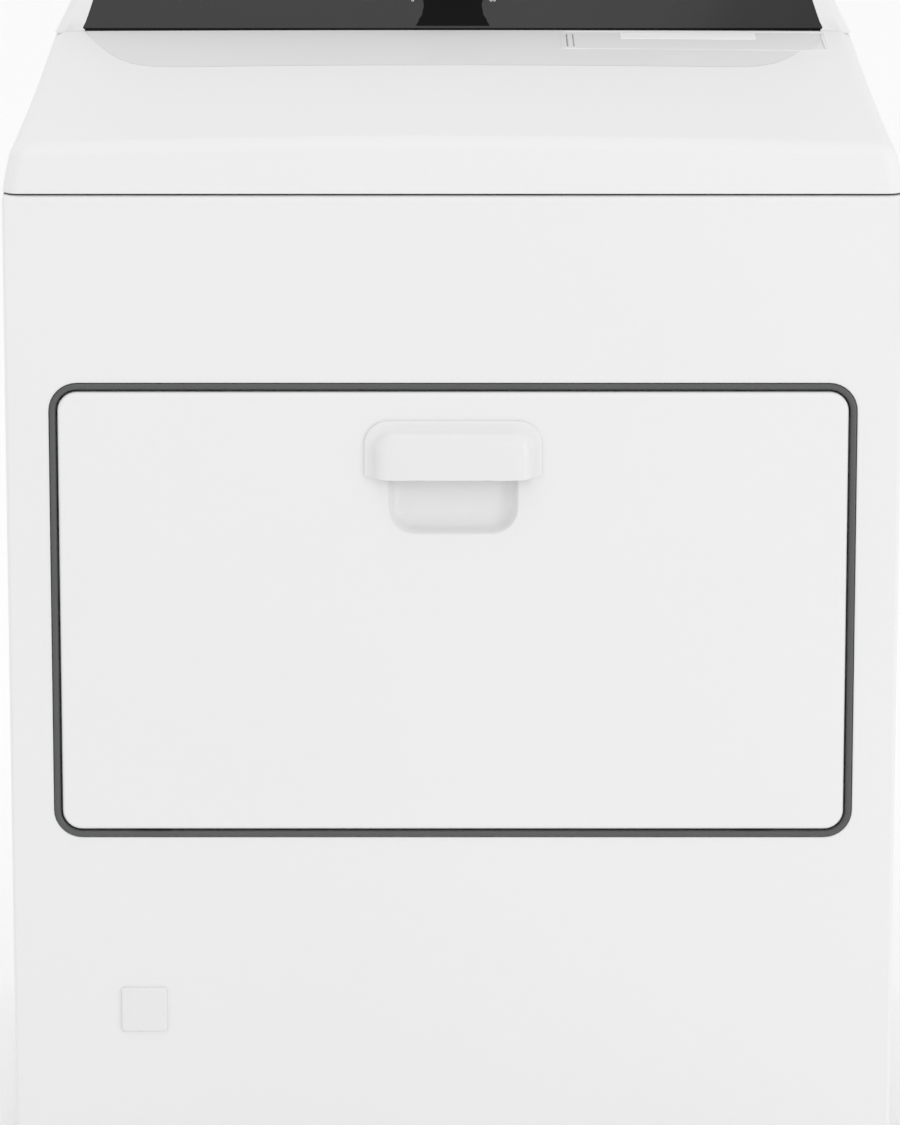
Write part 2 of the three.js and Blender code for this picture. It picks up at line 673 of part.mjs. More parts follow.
function idlerWheel() {
  const { x, z, radius } = IDLER;
  const { y } = BELT;
  return turned([
    [5.5, y - 8], [10, y - 8], [10, y - 4], [radius, y - 6], [radius, y + 6], [10, y + 4], [10, y + 8],
    [5.5, y + 8], [5.5, y - 8],
  ], x, z, 16);
}

function voluteForm(inset) {
  const { radius, front, rear } = BLOWER;
  const { half, z } = EXHAUST;
  const y0 = front + inset;
  const y1 = rear - inset;
  const outletEnd = MOTOR.x - 94 - (inset > 0 ? 5 : 0);
  return join(
    rod('y', radius - inset, y0, y1, MOTOR.x, MOTOR.z, 32),
    block(outletEnd, MOTOR.x, y0, y1, z - half + inset, z + half - inset),
  );
}

function blowerHousing() {
  const wall = 2;
  return cut(
    voluteForm(0),
    voluteForm(wall),
    rod('y', BLOWER.inlet, BLOWER.front - 1, BLOWER.front + wall + 1, MOTOR.x, MOTOR.z, 24),
  );
}

// A back plate with a hub on the motor's shaft and a ring of straight blades.
function blowerWheel() {
  const { wheel, rear } = BLOWER;
  const { x, z, shaft } = MOTOR;
  const back = rear - 6;
  const front = BLOWER.front + 8;
  const blades = [];
  for (let i = 0; i < 8; i += 1) {
    const blade = new THREE.BoxGeometry(20, back - front, 2);
    blade.translate(wheel - 11, (front + back) / 2, 0);
    blade.rotateY(i * Math.PI / 4);
    blade.translate(x, 0, z);
    blades.push(solid(blade));
  }
  const hub = rod('y', 13, back - 22, back, x, z);
  const plate = rod('y', wheel, back - 2, back, x, z, 24);
  return cut(join(plate, hub, ...blades), rod('y', shaft + GAP, front, back + 1, x, z));
}

// A box elbow from the blower's outlet, with the round collar that the vent hose slides over.
function exhaustForm(inset) {
  const { radius, half, end, z } = EXHAUST;
  const { front, rear } = BLOWER;
  const open = inset > 0 ? 5 : 0;
  return join(
    block(-56 + inset, MOTOR.x - 94 - GAP + open, front + inset, rear - inset,
      z - half + inset, z + half - inset),
    rod('y', radius - inset, rear - 10, end + open, 0, z, 32),
  );
}

function exhaustDuct() {
  return cut(exhaustForm(0), exhaustForm(1.5));
}

// ---- Lint duct and screen ----
function lintDuctForm(inset) {
  const y0 = DUCT_FRONT + inset;
  const foot = BLOWER.front - GAP - inset;
  const top = CABINET.seam - 4 + (inset > 0 ? 5 : 0);
  const side = outlineOf([
    [y0, 16 + inset], [foot, 16 + inset], [foot, 330], [292 - inset, 430], [292 - inset, 620],
    [231 - inset, top], [y0, top],
  ]);
  const half = LINT.half - inset;
  const lowHalf = BLOWER.radius - inset;
  const face = new THREE.Shape();
  face.moveTo(LINT.x - half, top);
  face.lineTo(LINT.x - half, 345);
  face.lineTo(MOTOR.x - lowHalf, 250);
  face.lineTo(MOTOR.x - lowHalf, MOTOR.z);
  face.absarc(MOTOR.x, MOTOR.z, lowHalf, Math.PI, 2 * Math.PI);
  face.lineTo(MOTOR.x + lowHalf, 250);
  face.lineTo(LINT.x + half, 345);
  face.lineTo(LINT.x + half, top);
  return swept(side, 'x', 90, 350).intersect(swept(face, 'y', 180, 300, 14));
}

function lintDuct() {
  const y0 = DUCT_FRONT;
  return cut(
    lintDuctForm(0),
    lintDuctForm(1.5),
    block(GRILLE.x - GRILLE.half, GRILLE.x + GRILLE.half, y0 - 1, y0 + 3, GRILLE.low, GRILLE.high),
    rod('y', 12, y0 - 1, y0 + 3, MOTOR.x, MOTOR.z),
    rod('y', BLOWER.inlet, BLOWER.front - 4, BLOWER.front + 1, MOTOR.x, MOTOR.z, 24),
  );
}

// A long framed screen under a flat lid. The frame hangs at the duct's slope.
function lintScreen() {
  const lidLow = CABINET.seam + TOP.height + 1.2;
  const tilted = (x0, x1, y0, y1, z0, z1) => {
    const geometry = new THREE.BoxGeometry(x1 - x0, y1 - y0, z1 - z0);
    geometry.translate((x0 + x1) / 2, (y0 + y1) / 2, (z0 + z1) / 2);
    geometry.rotateX(LINT.tilt);
    geometry.translate(LINT.x, LINT.slotY, lidLow);
    return solid(geometry);
  };
  const outer = LINT.half - 9;
  const frame = cut(
    tilted(-outer, outer, -6, 6, -LINT.length, 1),
    tilted(-outer + 9, outer - 9, -7, 5, -LINT.length + 9, -14),
  );
  const lid = block(LINT.x - LINT.half, LINT.x + LINT.half, LINT.front, LINT.rear, lidLow, lidLow + 3);
  return join(frame, lid);
}

// ---- Burner and warm-air duct ----
const FUNNEL = { mouth: 68, throat: 56, front: -130, rear: 191 };

function burnerFunnel() {
  const { x, z } = BURNER;
  const { mouth, throat, front, rear } = FUNNEL;
  const wall = 1.5;
  return turned([
    [mouth - wall, front], [mouth, front], [mouth, front + 40], [throat, front + 90], [throat, rear],
    [throat - wall, rear], [throat - wall, front + 90], [mouth - wall, front + 40], [mouth - wall, front],
  ], x, z, 20);
}

// A venturi tube that mixes gas and air, with a flared mouth.
function burnerTube() {
  const { x, z } = BURNER;
  return turned([
    [26, -212], [28, -212], [18, -190], [24, -140], [24, -96],
    [22, -96], [22, -140], [16, -190], [26, -212],
  ], x, z, 20);
}

function burnerIgniter() {
  const { x, z } = BURNER;
  const bracket = block(x - 9, x + 9, -120, -84, z + 25, z + 27);
  const rodPiece = rod('y', 3.5, -120, -72, x, z + 32, 16);
  return join(bracket, rodPiece, block(x - 7, x + 7, -120, -100, z + 26, z + 38));
}

// A cast valve body with two coils on top, a nozzle that points into the burner tube, and a
// foot that stands on the base.
function gasValve() {
  const { x, z } = BURNER;
  const low = CABINET.bottom + SHEET + GAP;
  return join(
    block(x - 38, x + 38, -288, -240, z - 22, z + 18),
    rod('z', 15, z + 16, z + 52, x - 20, -264),
    rod('z', 15, z + 16, z + 52, x + 20, -264),
    rod('y', 9, -241, -218, x, z),
    block(x - 24, x + 24, -276, -250, low, z - 20),
  );
}

// The iron pipe from the valve's side to the back of the cabinet.
function gasInletPipe() {
  const { x, z, radius } = GAS_PIPE;
  const start = new THREE.Vector3(BURNER.x - 38 - GAP, -264, BURNER.z - 4);
  const bend = 18;
  const path = new THREE.CurvePath();
  const corners = [start, new THREE.Vector3(x, start.y, start.z), new THREE.Vector3(x, start.y, z),
    new THREE.Vector3(x, CABINET.rear + 22, z)];
  let from = start;
  for (let i = 1; i < corners.length - 1; i += 1) {
    const before = corners[i].clone().add(from.clone().sub(corners[i]).setLength(bend));
    const after = corners[i].clone().add(corners[i + 1].clone().sub(corners[i]).setLength(bend));
    path.add(new THREE.LineCurve3(from, before));
    path.add(new THREE.QuadraticBezierCurve3(before, corners[i], after));
    from = after;
  }
  path.add(new THREE.LineCurve3(from, corners[3]));
  const section = new THREE.Shape();
  section.absarc(0, 0, radius, 0, 2 * Math.PI);
  const tube = solid(new THREE.ExtrudeGeometry(section, { steps: 22, extrudePath: path, curveSegments: 4 }));
  const nut = rod('y', radius + 4, CABINET.rear + 6, CABINET.rear + 20, x, z, 6);
  return join(tube, nut);
}

// The duct behind the rear bulkhead that leads the burner's air up to the drum's grille.
function heatDuctForm(inset) {
  const face = outlineOf([
    [-330 + inset, 46 + inset], [-192 - inset, 46 + inset], [-192 - inset, 430 + inset],
    [-104 - inset, 505 + inset], [-104 - inset, 700 - inset], [-330 + inset, 700 - inset],
  ]);
  return swept(face, 'y', DUCT_FRONT + inset, 280 - inset);
}

function heatDuct() {
  const y0 = DUCT_FRONT;
  return cut(
    heatDuctForm(0),
    heatDuctForm(1.5),
    block(-GRILLE.x - GRILLE.half, -GRILLE.x + GRILLE.half, y0 - 1, y0 + 3, GRILLE.low, GRILLE.high),
    rod('y', FUNNEL.throat, y0 - 1, y0 + 3, BURNER.x, BURNER.z, 24),
  );
}

// Two bright bars on a plastic strip, which feel how wet the clothes are.
function moistureSensor() {
  const y0 = FRONT_BULKHEAD.y + SHEET + GAP;
  return join(
    block(-80, 80, y0, y0 + 6, 334, 358),
    block(-70, 70, y0 + 5, y0 + 8, 339, 343),
    block(-70, 70, y0 + 5, y0 + 8, 349, 353),
  );
}

// ---- Console ----
const consoleFace = new THREE.Group();
consoleFace.position.set(0, CONSOLE.front, CONSOLE.slope);
consoleFace.rotation.x = -CONSOLE.lean;
consoleFace.updateMatrixWorld();

// Moves a body that is drawn on the face (x across, y inwards, z up the slope) into the dryer's frame.
function onFace(geometry) {
  return solid(geometry.clone().applyMatrix4(consoleFace.matrixWorld));
}

function faceOutline(half, narrow, low, high, corner) {
  const shape = new THREE.Shape();
  shape.moveTo(-half, low);
  shape.lineTo(half, low);
  shape.lineTo(half - narrow, high - corner);
  shape.quadraticCurveTo(half - narrow - 2, high, half - narrow - corner, high);
  shape.lineTo(-half + narrow + corner, high);
  shape.quadraticCurveTo(-half + narrow + 2, high, -half + narrow, high - corner);
  return shape;
}

// An outline on the face, from y0 to y1 inwards. Extrusion runs along -Y after the turn.
function faceSlab(outline, y0, y1, curveSegments = 3) {
  const geometry = new THREE.ExtrudeGeometry(outline, { depth: y1 - y0, bevelEnabled: false, curveSegments });
  geometry.rotateX(Math.PI / 2);
  geometry.translate(0, y1, 0);
  return geometry;
}

function glassOutline(inset) {
  return faceOutline(GLASS.half - inset, GLASS.narrow, GLASS.low + inset, GLASS.high - inset, 14);
}

function buttonOutline(x, inset) {
  return roundedRect(x, BUTTON.s, BUTTON.width - 2 * inset, BUTTON.height - 2 * inset, 4);
}

function dialHole() {
  const shape = new THREE.Shape();
  shape.absarc(0, DIAL.s, 6.8, 0, 2 * Math.PI);
  return shape;
}

function consoleForm(inset, faceInset) {
  const { half, taper, front, foot: low, slope, top } = CONSOLE;
  const drop = inset > 0 ? 5 : 0;
  const nose = front + faceInset / Math.cos(CONSOLE.lean);
  const rear = CABINET.rear - inset;
  const crest = slope + (rear - 8 - nose) / Math.tan(CONSOLE.lean);
  const profile = new THREE.Shape();
  profile.moveTo(nose, low - drop);
  profile.lineTo(nose, slope);
  profile.lineTo(rear - 9, crest - 1.7);
  profile.quadraticCurveTo(rear - 8, crest, rear - 4, crest);
  profile.quadraticCurveTo(rear, crest, rear, crest - 4);
  profile.lineTo(rear, low - drop);
  const side = half - inset;
  const view = new THREE.Shape();
  view.moveTo(-side, low - drop);
  view.lineTo(side, low - drop);
  view.lineTo(side, low + 3);
  view.quadraticCurveTo(side - taper, (low + top) / 2, side - taper, top - 6);
  view.quadraticCurveTo(side - taper - 4, top, side - taper - 14, top);
  view.lineTo(-side + taper + 14, top);
  view.quadraticCurveTo(-side + taper + 4, top, -side + taper, top - 6);
  view.quadraticCurveTo(-side + taper, (low + top) / 2, -side, low + 3);
  return swept(profile, 'x', -half - 5, half + 5).intersect(swept(view, 'y', 200, 330, 5));
}

function consoleHousing() {
  const buttonHoles = Object.values(BUTTON_X).map((x) => {
    return onFace(faceSlab(buttonOutline(x, -GAP - 0.1), -1, 20));
  });
  const pocket = GLASS.thickness + GAP;
  return cut(
    consoleForm(0, 0),
    consoleForm(2.5, pocket + 2.5),
    onFace(faceSlab(glassOutline(-GAP), -5, pocket)),
    onFace(faceSlab(dialHole(), -1, 20, 8)),
    ...buttonHoles,
  );
}

// ---- Pieces drawn on the console's face, placed by its group ----
function consoleGlass() {
  const holes = Object.values(BUTTON_X).map((x) => solid(faceSlab(buttonOutline(x, -GAP - 0.1), -1, 9)));
  return cut(
    solid(faceSlab(glassOutline(0), 0, GLASS.thickness)),
    solid(faceSlab(dialHole(), -1, 9, 8)),
    ...holes,
  );
}

// A knob with a finger skirt, and the shaft that turns in the housing.
function controlDial() {
  const { radius, height } = DIAL;
  return turned([
    [0, -height], [radius - 8, -height], [radius - 5, -height + 2.5], [radius - 3.5, -6], [radius, -4.5],
    [radius, -0.8], [6, -0.8], [6, 12], [0, 12],
  ], 0, DIAL.s, 28);
}

function button(x) {
  const key = solid(faceSlab(buttonOutline(x, 0), -BUTTON.proud, BUTTON.stem));
  return key;
}

// The printed board and its parts, on posts inside the console.
function controlBoard() {
  const y0 = 296;
  return join(
    block(-120, 60, y0, y0 + 1.6, 938, 1000),
    block(-100, -60, y0 - 14, y0 + 0.5, 945, 975),
    block(-40, -10, y0 - 10, y0 + 0.5, 950, 985),
    rod('y', 8, y0 - 16, y0 + 0.5, 20, 955, 16),
    rod('y', 8, y0 - 16, y0 + 0.5, 42, 955, 16),
    block(-110, -98, y0 + 1, 309, 942, 950),
    block(38, 50, y0 + 1, 309, 988, 996),
  );
}

// ---- Assembly ----
const dryer = new THREE.Group();

function place(name, body, material, group = dryer) {
  group.add(meshOf(name, body, material));
}

place('base_pan', basePan(), galvanised);
place('side_panel_left', sidePanel(-1), whiteEnamel);
place('side_panel_right', sidePanel(1), whiteEnamel);
place('rear_panel', rearPanel(), whiteEnamel);
place('front_panel', frontPanel(), whiteEnamel);
place('top_panel', topPanel(), whiteEnamel);
place('access_plug', accessPlug(), whitePlastic);
for (const { name, x, y } of footPlaces()) place(name, foot(x, y), rubber);

place('door_trim_ring', trimRing(), greyTrim);
place('door_outer_panel', doorOuterPanel(), whiteEnamel);
place('door_inner_panel', doorInnerPanel(), whiteEnamel);
place('door_handle', doorHandle(), whitePlastic);
place('door_strike', doorStrike(), steel);
place('door_catch', doorCatch(), blackPlastic);
place('door_switch', doorSwitch(), whitePlastic);
place('door_switch_plunger', doorSwitchPlunger(), blackPlastic);
for (const [side, word] of [[-1, 'left'], [1, 'right']]) {
  place(`door_hinge_${word}`, doorHinge(side), steel);
  place(`hinge_bracket_${word}`, hingeBracket(side), steel);
  place(`drum_roller_${word}`, drumRoller(side), rubber);
  place(`roller_shaft_${word}`, rollerShaft(side), steel);
}

place('front_bulkhead', frontBulkhead(), galvanised);
place('rear_bulkhead', rearBulkhead(), galvanised);
place('front_drum_bearing', frontDrumBearing(), whitePlastic);
place('rear_felt_seal', rearFeltSeal(), felt);
place('drum', drumShell(), paintedDrum);
for (let i = 0; i < BAFFLE.count; i += 1) {
  place(`drum_baffle_${i + 1}`, baffle(Math.PI / 2 + i * 2 * Math.PI / BAFFLE.count), whitePlastic);
}
place('drum_belt', drumBelt(), rubber);
place('moisture_sensor', moistureSensor(), steel);

place('motor', motor(), castMotor);
place('motor_shaft', motorShaft(), steel);
place('motor_pulley', motorPulley(), steel);
place('idler_arm', idlerArm(), steel);
place('idler_wheel', idlerWheel(), blackPlastic);
place('blower_housing', blowerHousing(), blackPlastic);
place('blower_wheel', blowerWheel(), blackPlastic);
place('exhaust_duct', exhaustDuct(), galvanised);
place('lint_duct', lintDuct(), galvanised);
place('lint_screen', lintScreen(), whitePlastic);

place('gas_valve', gasValve(), castMotor);
place('gas_inlet_pipe', gasInletPipe(), steel);
place('burner_tube', burnerTube(), brass);
place('burner_igniter', burnerIgniter(), steel);
place('burner_funnel', burnerFunnel(), galvanised);
place('heat_duct', heatDuct(), galvanised);

dryer.add(consoleFace);
place('console_housing', consoleHousing(), whitePlastic);
place('control_board', controlBoard(), boardGreen);
place('console_glass', consoleGlass(), darkGlass, consoleFace);
place('control_dial', controlDial(), satinDial, consoleFace);
for (const [name, x] of Object.entries(BUTTON_X)) place(name, button(x), satinDial, consoleFace);

export default dryer;
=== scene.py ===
"""The looks of a gas clothes dryer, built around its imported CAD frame: a white enamelled cabinet with a
drop-down door, a crowned top with a lint screen, and a sloping console of dark glass.
Shapes are drawn in millimetres and placed in the frame's metres."""

import json
import math

import bmesh
import bpy
from mathutils import Matrix, Vector


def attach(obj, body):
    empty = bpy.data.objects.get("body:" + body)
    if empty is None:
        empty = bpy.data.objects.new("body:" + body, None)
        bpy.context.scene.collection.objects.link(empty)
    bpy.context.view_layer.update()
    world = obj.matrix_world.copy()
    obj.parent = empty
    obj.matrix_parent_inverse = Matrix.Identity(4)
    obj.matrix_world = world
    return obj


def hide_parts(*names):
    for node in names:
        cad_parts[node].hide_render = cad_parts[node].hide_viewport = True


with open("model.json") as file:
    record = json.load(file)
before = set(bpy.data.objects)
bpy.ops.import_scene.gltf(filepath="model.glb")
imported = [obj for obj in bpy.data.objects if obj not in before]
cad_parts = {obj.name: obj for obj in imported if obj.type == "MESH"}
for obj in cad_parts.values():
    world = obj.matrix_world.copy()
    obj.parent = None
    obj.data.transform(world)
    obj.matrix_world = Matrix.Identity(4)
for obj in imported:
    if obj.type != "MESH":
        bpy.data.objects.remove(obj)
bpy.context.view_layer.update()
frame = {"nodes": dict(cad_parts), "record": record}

MM = 0.001
TAU = 2 * math.pi
HALF = 368.3
FRONT = -338.0
REAR = 312.0
BOTTOM = 14.0
SEAM = 863.7
DOOR_Z = 514.85
DOOR_FACE = -339.5
MOUTH_Z = 515.0
DRUM_Z = 505.0
DRUM_RADIUS = 336.0
CONSOLE_FRONT = 236.0
CONSOLE_FOOT = 921.0
LEAN = math.radians(30)
DIAL_UP = 66.0
HINGES = (-250, 250)
SHEET = 0.9
THIN_SHEET = 0.8
EXHAUST = (0, 0, 95)
GAS_INLET = (-342, 0, 44)
CORD_HOLE = (335, 0, 84)

FACE = Matrix.Translation((0, CONSOLE_FRONT, CONSOLE_FOOT)) @ Matrix.Rotation(-LEAN, 4, "X")


# ---- Materials ----
class Nodes:
    """Short calls for one material's node tree."""

    def __init__(self, name):
        self.material = bpy.data.materials.new(name)
        self.material.use_nodes = True
        self.tree = self.material.node_tree
        self.shader = self.tree.nodes["Principled BSDF"]
        self.place = self.add("ShaderNodeTexCoord").outputs["Object"]

    def add(self, kind, **settings):
        node = self.tree.nodes.new(kind)
        for key, value in settings.items():
            setattr(node, key, value)
        return node

    def link(self, source, target):
        self.tree.links.new(source, target)

    def stretched(self, scale):
        node = self.add("ShaderNodeMapping")
        node.inputs["Scale"].default_value = scale
        self.link(self.place, node.inputs["Vector"])
        return node.outputs["Vector"]

    def noise(self, scale, detail=3.0, rough=0.55, vector=None):
        node = self.add("ShaderNodeTexNoise")
        node.inputs["Scale"].default_value = scale
        node.inputs["Detail"].default_value = detail
        node.inputs["Roughness"].default_value = rough
        self.link(vector or self.place, node.inputs["Vector"])
        return node.outputs["Fac"]

    def cells(self, scale, vector=None):
        node = self.add("ShaderNodeTexVoronoi")
        node.inputs["Scale"].default_value = scale
        self.link(vector or self.place, node.inputs["Vector"])
        return node

    def span(self, value, low, high, start=0.3, end=0.7):
        node = self.add("ShaderNodeMapRange")
        node.inputs["From Min"].default_value = start
        node.inputs["From Max"].default_value = end
        node.inputs["To Min"].default_value = low
        node.inputs["To Max"].default_value = high
        self.link(value, node.inputs["Value"])
        return node.outputs["Result"]

    def blend(self, factor, first, second):
        node = self.add("ShaderNodeMix", data_type="RGBA")
        self.link(factor, node.inputs["Factor"])
        for socket, colour in ((node.inputs[6], first), (node.inputs[7], second)):
            if isinstance(colour, bpy.types.NodeSocket):
                self.link(colour, socket)
            else:
                socket.default_value = (*colour, 1)
        return node.outputs[2]

    def bump(self, height, strength, distance, below=None):
        node = self.add("ShaderNodeBump")
        node.inputs["Strength"].default_value = strength
        node.inputs["Distance"].default_value = distance
        self.link(height, node.inputs["Height"])
        if below is not None:
            self.link(below, node.inputs["Normal"])
        return node.outputs["Normal"]


def shade(colour, factor):
    return tuple(min(1.0, c * factor) for c in colour)


LOOKS = {}


def surface(name, colour, rough, metal=0.0, tint=0.03, wear=0.05, patch=3.0, grain=900.0, relief=0.1,
            depth=0.0001, brushed=None, spangle=0.0, speckle=0.0, **fixed):
    """Adds a look: soft patches of tint and gloss, a fine grain in relief, and fixed shader values."""
    n = Nodes(name)
    patches = n.noise(patch, 4.0)
    base = n.blend(n.span(patches, 0.0, 1.0), shade(colour, 1 - tint), shade(colour, 1 + tint))
    where = n.stretched(brushed) if brushed else None
    fine = n.noise(grain, 3.0, 0.6, where)
    gloss = n.noise(patch * 5.3, 5.0, 0.65)
    if spangle:
        cells = n.cells(spangle)
        tone = n.add("ShaderNodeSeparateColor")
        n.link(cells.outputs["Color"], tone.inputs["Color"])
        base = n.blend(tone.outputs["Red"], base, shade(colour, 1.07))
        gloss = tone.outputs["Green"]
    if speckle:
        dots = n.noise(speckle, 2.0, 0.5)
        base = n.blend(n.span(dots, 0.0, 1.0, 0.6, 0.68), base, shade(colour, 0.72))
    n.link(base, n.shader.inputs["Base Color"])
    n.link(n.span(gloss, max(0.02, rough - wear), rough + wear), n.shader.inputs["Roughness"])
    n.shader.inputs["Metallic"].default_value = metal
    n.link(n.bump(fine, relief, depth), n.shader.inputs["Normal"])
    for socket, value in fixed.items():
        n.shader.inputs[socket.replace("_", " ")].default_value = value
    LOOKS[name] = n.material


WHITE = (0.778, 0.778, 0.778)
MOULDED = (0.752, 0.752, 0.752)
surface("white_enamel", WHITE, 0.3, tint=0.006, wear=0.02, patch=2.4, grain=420, relief=0.04, depth=0.0002,
        IOR=1.4)
surface("white_plastic", MOULDED, 0.25, tint=0.003, wear=0.01, patch=2.4, grain=420, relief=0.03, IOR=1.4)
surface("grey_trim", (0.115, 0.12, 0.128), 0.42, tint=0.06, wear=0.07, patch=14, grain=2400, relief=0.14)
surface("dark_glass", (0.021, 0.021, 0.021), 0.1, tint=0.10, wear=0.03, patch=5, grain=260, relief=0.01,
        IOR=1.33, Coat_Weight=0.05, Coat_Roughness=0.03)
surface("satin_dial", (0.52, 0.53, 0.54), 0.3, metal=1.0, tint=0.05, wear=0.06, patch=22, grain=900,
        relief=0.08, brushed=(1, 8, 1))
surface("galvanised", (0.47, 0.48, 0.49), 0.46, metal=1.0, tint=0.04, wear=0.025, patch=6, grain=700,
        relief=0.05, spangle=150)
surface("drum_enamel", (0.70, 0.70, 0.685), 0.34, tint=0.02, wear=0.05, patch=5, grain=1300, relief=0.12,
        speckle=650, Coat_Weight=0.1, Coat_Roughness=0.2)
surface("cast_motor", (0.05, 0.052, 0.056), 0.5, tint=0.15, wear=0.1, patch=16, grain=800, relief=0.3,
        depth=0.0003)
surface("steel", (0.40, 0.41, 0.42), 0.32, metal=1.0, tint=0.07, wear=0.08, patch=12, grain=1200,
        relief=0.07, brushed=(1, 1, 14))
surface("brass", (0.55, 0.40, 0.20), 0.32, metal=1.0, tint=0.1, wear=0.1, patch=20, grain=1100, relief=0.08)
surface("rubber", (0.03, 0.03, 0.031), 0.62, tint=0.16, wear=0.09, patch=18, grain=1500, relief=0.25,
        depth=0.0002)
surface("felt", (0.35, 0.33, 0.30), 0.92, tint=0.14, wear=0.04, patch=26, grain=2100, relief=0.7,
        depth=0.0005, Sheen_Weight=0.35, Sheen_Roughness=0.5)
surface("black_plastic", (0.03, 0.03, 0.032), 0.45, tint=0.12, wear=0.08, patch=15, grain=1700, relief=0.18)
surface("circuit_board", (0.03, 0.15, 0.06), 0.35, tint=0.12, wear=0.08, patch=40, grain=900, relief=0.2,
        speckle=380)
surface("legend", (0.72, 0.73, 0.74), 0.4, tint=0.02, patch=30, grain=2500, relief=0.05)
surface("gloss_black", (0.004, 0.004, 0.004), 0.08, tint=0.10, wear=0.03, patch=8, grain=400, relief=0.01, IOR=1.13)
surface("shadow_line", (0.024, 0.024, 0.025), 0.5, tint=0.1, patch=20, grain=1500, relief=0.1)
surface("bead", (0.078, 0.079, 0.081), 0.36, tint=0.05, wear=0.05, patch=16, grain=2600, relief=0.1)
surface("top", WHITE, 0.5, tint=0.004, wear=0.02, patch=2.4, grain=420, relief=0.04, depth=0.0002, IOR=1.06)
surface("shelf", WHITE, 0.1, tint=0.004, wear=0.02, patch=2.4, grain=420, relief=0.01, IOR=1.06)
surface("lid", WHITE, 0.12, tint=0.003, wear=0.01, patch=2.4, grain=420, relief=0.01, IOR=1.06)
surface("mesh", (0.62, 0.64, 0.66), 0.4, tint=0.06, patch=20, grain=2200, relief=0.1)
surface("paper", (0.9, 0.9, 0.9), 0.55, tint=0.02, patch=12, grain=1800, relief=0.1)


# ---- Outlines and meshes ----
def rounded(x, z, width, height, corner, steps=8):
    """An upright rounded rectangle about (x, z), anticlockwise from its lower right corner."""
    corner = max(0.05, min(corner, width / 2 - 0.01, height / 2 - 0.01))
    points = []
    for quarter, (across, up) in enumerate(((1, -1), (1, 1), (-1, 1), (-1, -1))):
        cx = x + across * (width / 2 - corner)
        cz = z + up * (height / 2 - corner)
        for i in range(steps + 1):
            angle = (quarter - 1 + i / steps) * math.pi / 2
            points.append((cx + corner * math.cos(angle), cz + corner * math.sin(angle)))
    return points


def arc(radius, start, end, steps):
    """(cosine, sine) offsets of a roll's arc from start to end, in degrees."""
    return [(radius * math.cos(math.radians(start + (end - start) * i / steps)),
             radius * math.sin(math.radians(start + (end - start) * i / steps))) for i in range(steps + 1)]


def upright(outline, y):
    return [(x, y, z) for x, z in outline]


def framed(z, width, height, corner, steps=8):
    """Makes rings of one rounded rectangle: ring(y, inset) is it at depth y, drawn in by inset."""
    def ring(y, inset=0.0):
        return upright(rounded(0, z, width - 2 * inset, height - 2 * inset, corner - inset, steps), y)
    return ring


def loft(rings, first=False, last=False, around=False, closed=True):
    """Skins rings of equal length. first and last cap the ends, around joins the last ring to the first."""
    count = len(rings[0])
    verts = [p for ring in rings for p in ring]
    faces = []
    pairs = list(zip(range(len(rings) - 1), range(1, len(rings))))
    if around:
        pairs.append((len(rings) - 1, 0))
    for a, b in pairs:
        for i in range(count if closed else count - 1):
            j = (i + 1) % count
            faces.append((a * count + i, a * count + j, b * count + j, b * count + i))
    if first:
        faces.append(tuple(range(count)))
    if last:
        faces.append(tuple(range((len(rings) - 1) * count, len(rings) * count)))
    return verts, faces


def merged(*shells):
    verts, faces = [], []
    for shell_verts, shell_faces in shells:
        base = len(verts)
        verts.extend(shell_verts)
        faces.extend(tuple(i + base for i in face) for face in shell_faces)
    return verts, faces


def moved(shell, matrix):
    verts, faces = shell
    return [tuple(matrix @ Vector(v)) for v in verts], faces


def mesh_of(name, shell, matrix=None):
    verts, faces = shell if matrix is None else moved(shell, matrix)
    mesh = bpy.data.meshes.new(name)
    mesh.from_pydata([(x * MM, y * MM, z * MM) for x, y, z in verts], [], faces)
    work = bmesh.new()
    work.from_mesh(mesh)
    bmesh.ops.remove_doubles(work, verts=work.verts, dist=1e-6)
    bmesh.ops.recalc_face_normals(work, faces=work.faces)
    work.to_mesh(mesh)
    work.free()
    return mesh


def baked(obj):
    """Applies the modifiers of obj to its mesh."""
    depsgraph = bpy.context.evaluated_depsgraph_get()
    mesh = bpy.data.meshes.new_from_object(obj.evaluated_get(depsgraph))
    obj.modifiers.clear()
    obj.data = mesh
    return obj


def linked(name, mesh):
    obj = bpy.data.objects.new(name, mesh)
    bpy.context.scene.collection.objects.link(obj)
    return obj


def thicken(obj, thickness, outward=False):
    skin = obj.modifiers.new("thickness", "SOLIDIFY")
    skin.thickness = thickness * MM
    skin.offset = 1.0 if outward else -1.0
    skin.use_even_offset = True
    return baked(obj)


def carve(obj, *shells):
    """Cuts closed shells out of obj."""
    for shell in shells:
        tool = linked("tool", mesh_of("tool", shell))
        cut = obj.modifiers.new("cut", "BOOLEAN")
        cut.operation = "DIFFERENCE"
        cut.solver = "EXACT"
        cut.object = tool
        baked(obj)
        bpy.data.objects.remove(tool)
    return obj


def soften(obj, width, angle=40, segments=2):
    edge = obj.modifiers.new("soft_edges", "BEVEL")
    edge.width = width * MM
    edge.segments = segments
    edge.limit_method = "ANGLE"
    edge.angle_limit = math.radians(angle)
    edge.harden_normals = False
    return obj


def dress(obj, body, slot, material=None, stands_for=(), sharp=38):
    """Gives a piece its finish, its shading, its body and the CAD nodes that it stands for."""
    obj.data.materials.clear()
    obj.data.materials.append(material or LOOKS[slot])
    obj.data.shade_smooth()
    obj.data.set_sharp_from_angle(angle=math.radians(sharp))
    even = obj.modifiers.new("even_shading", "WEIGHTED_NORMAL")
    even.keep_sharp = True
    even.weight = 60
    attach(obj, body)
    if stands_for:
        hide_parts(*stands_for)
    return obj


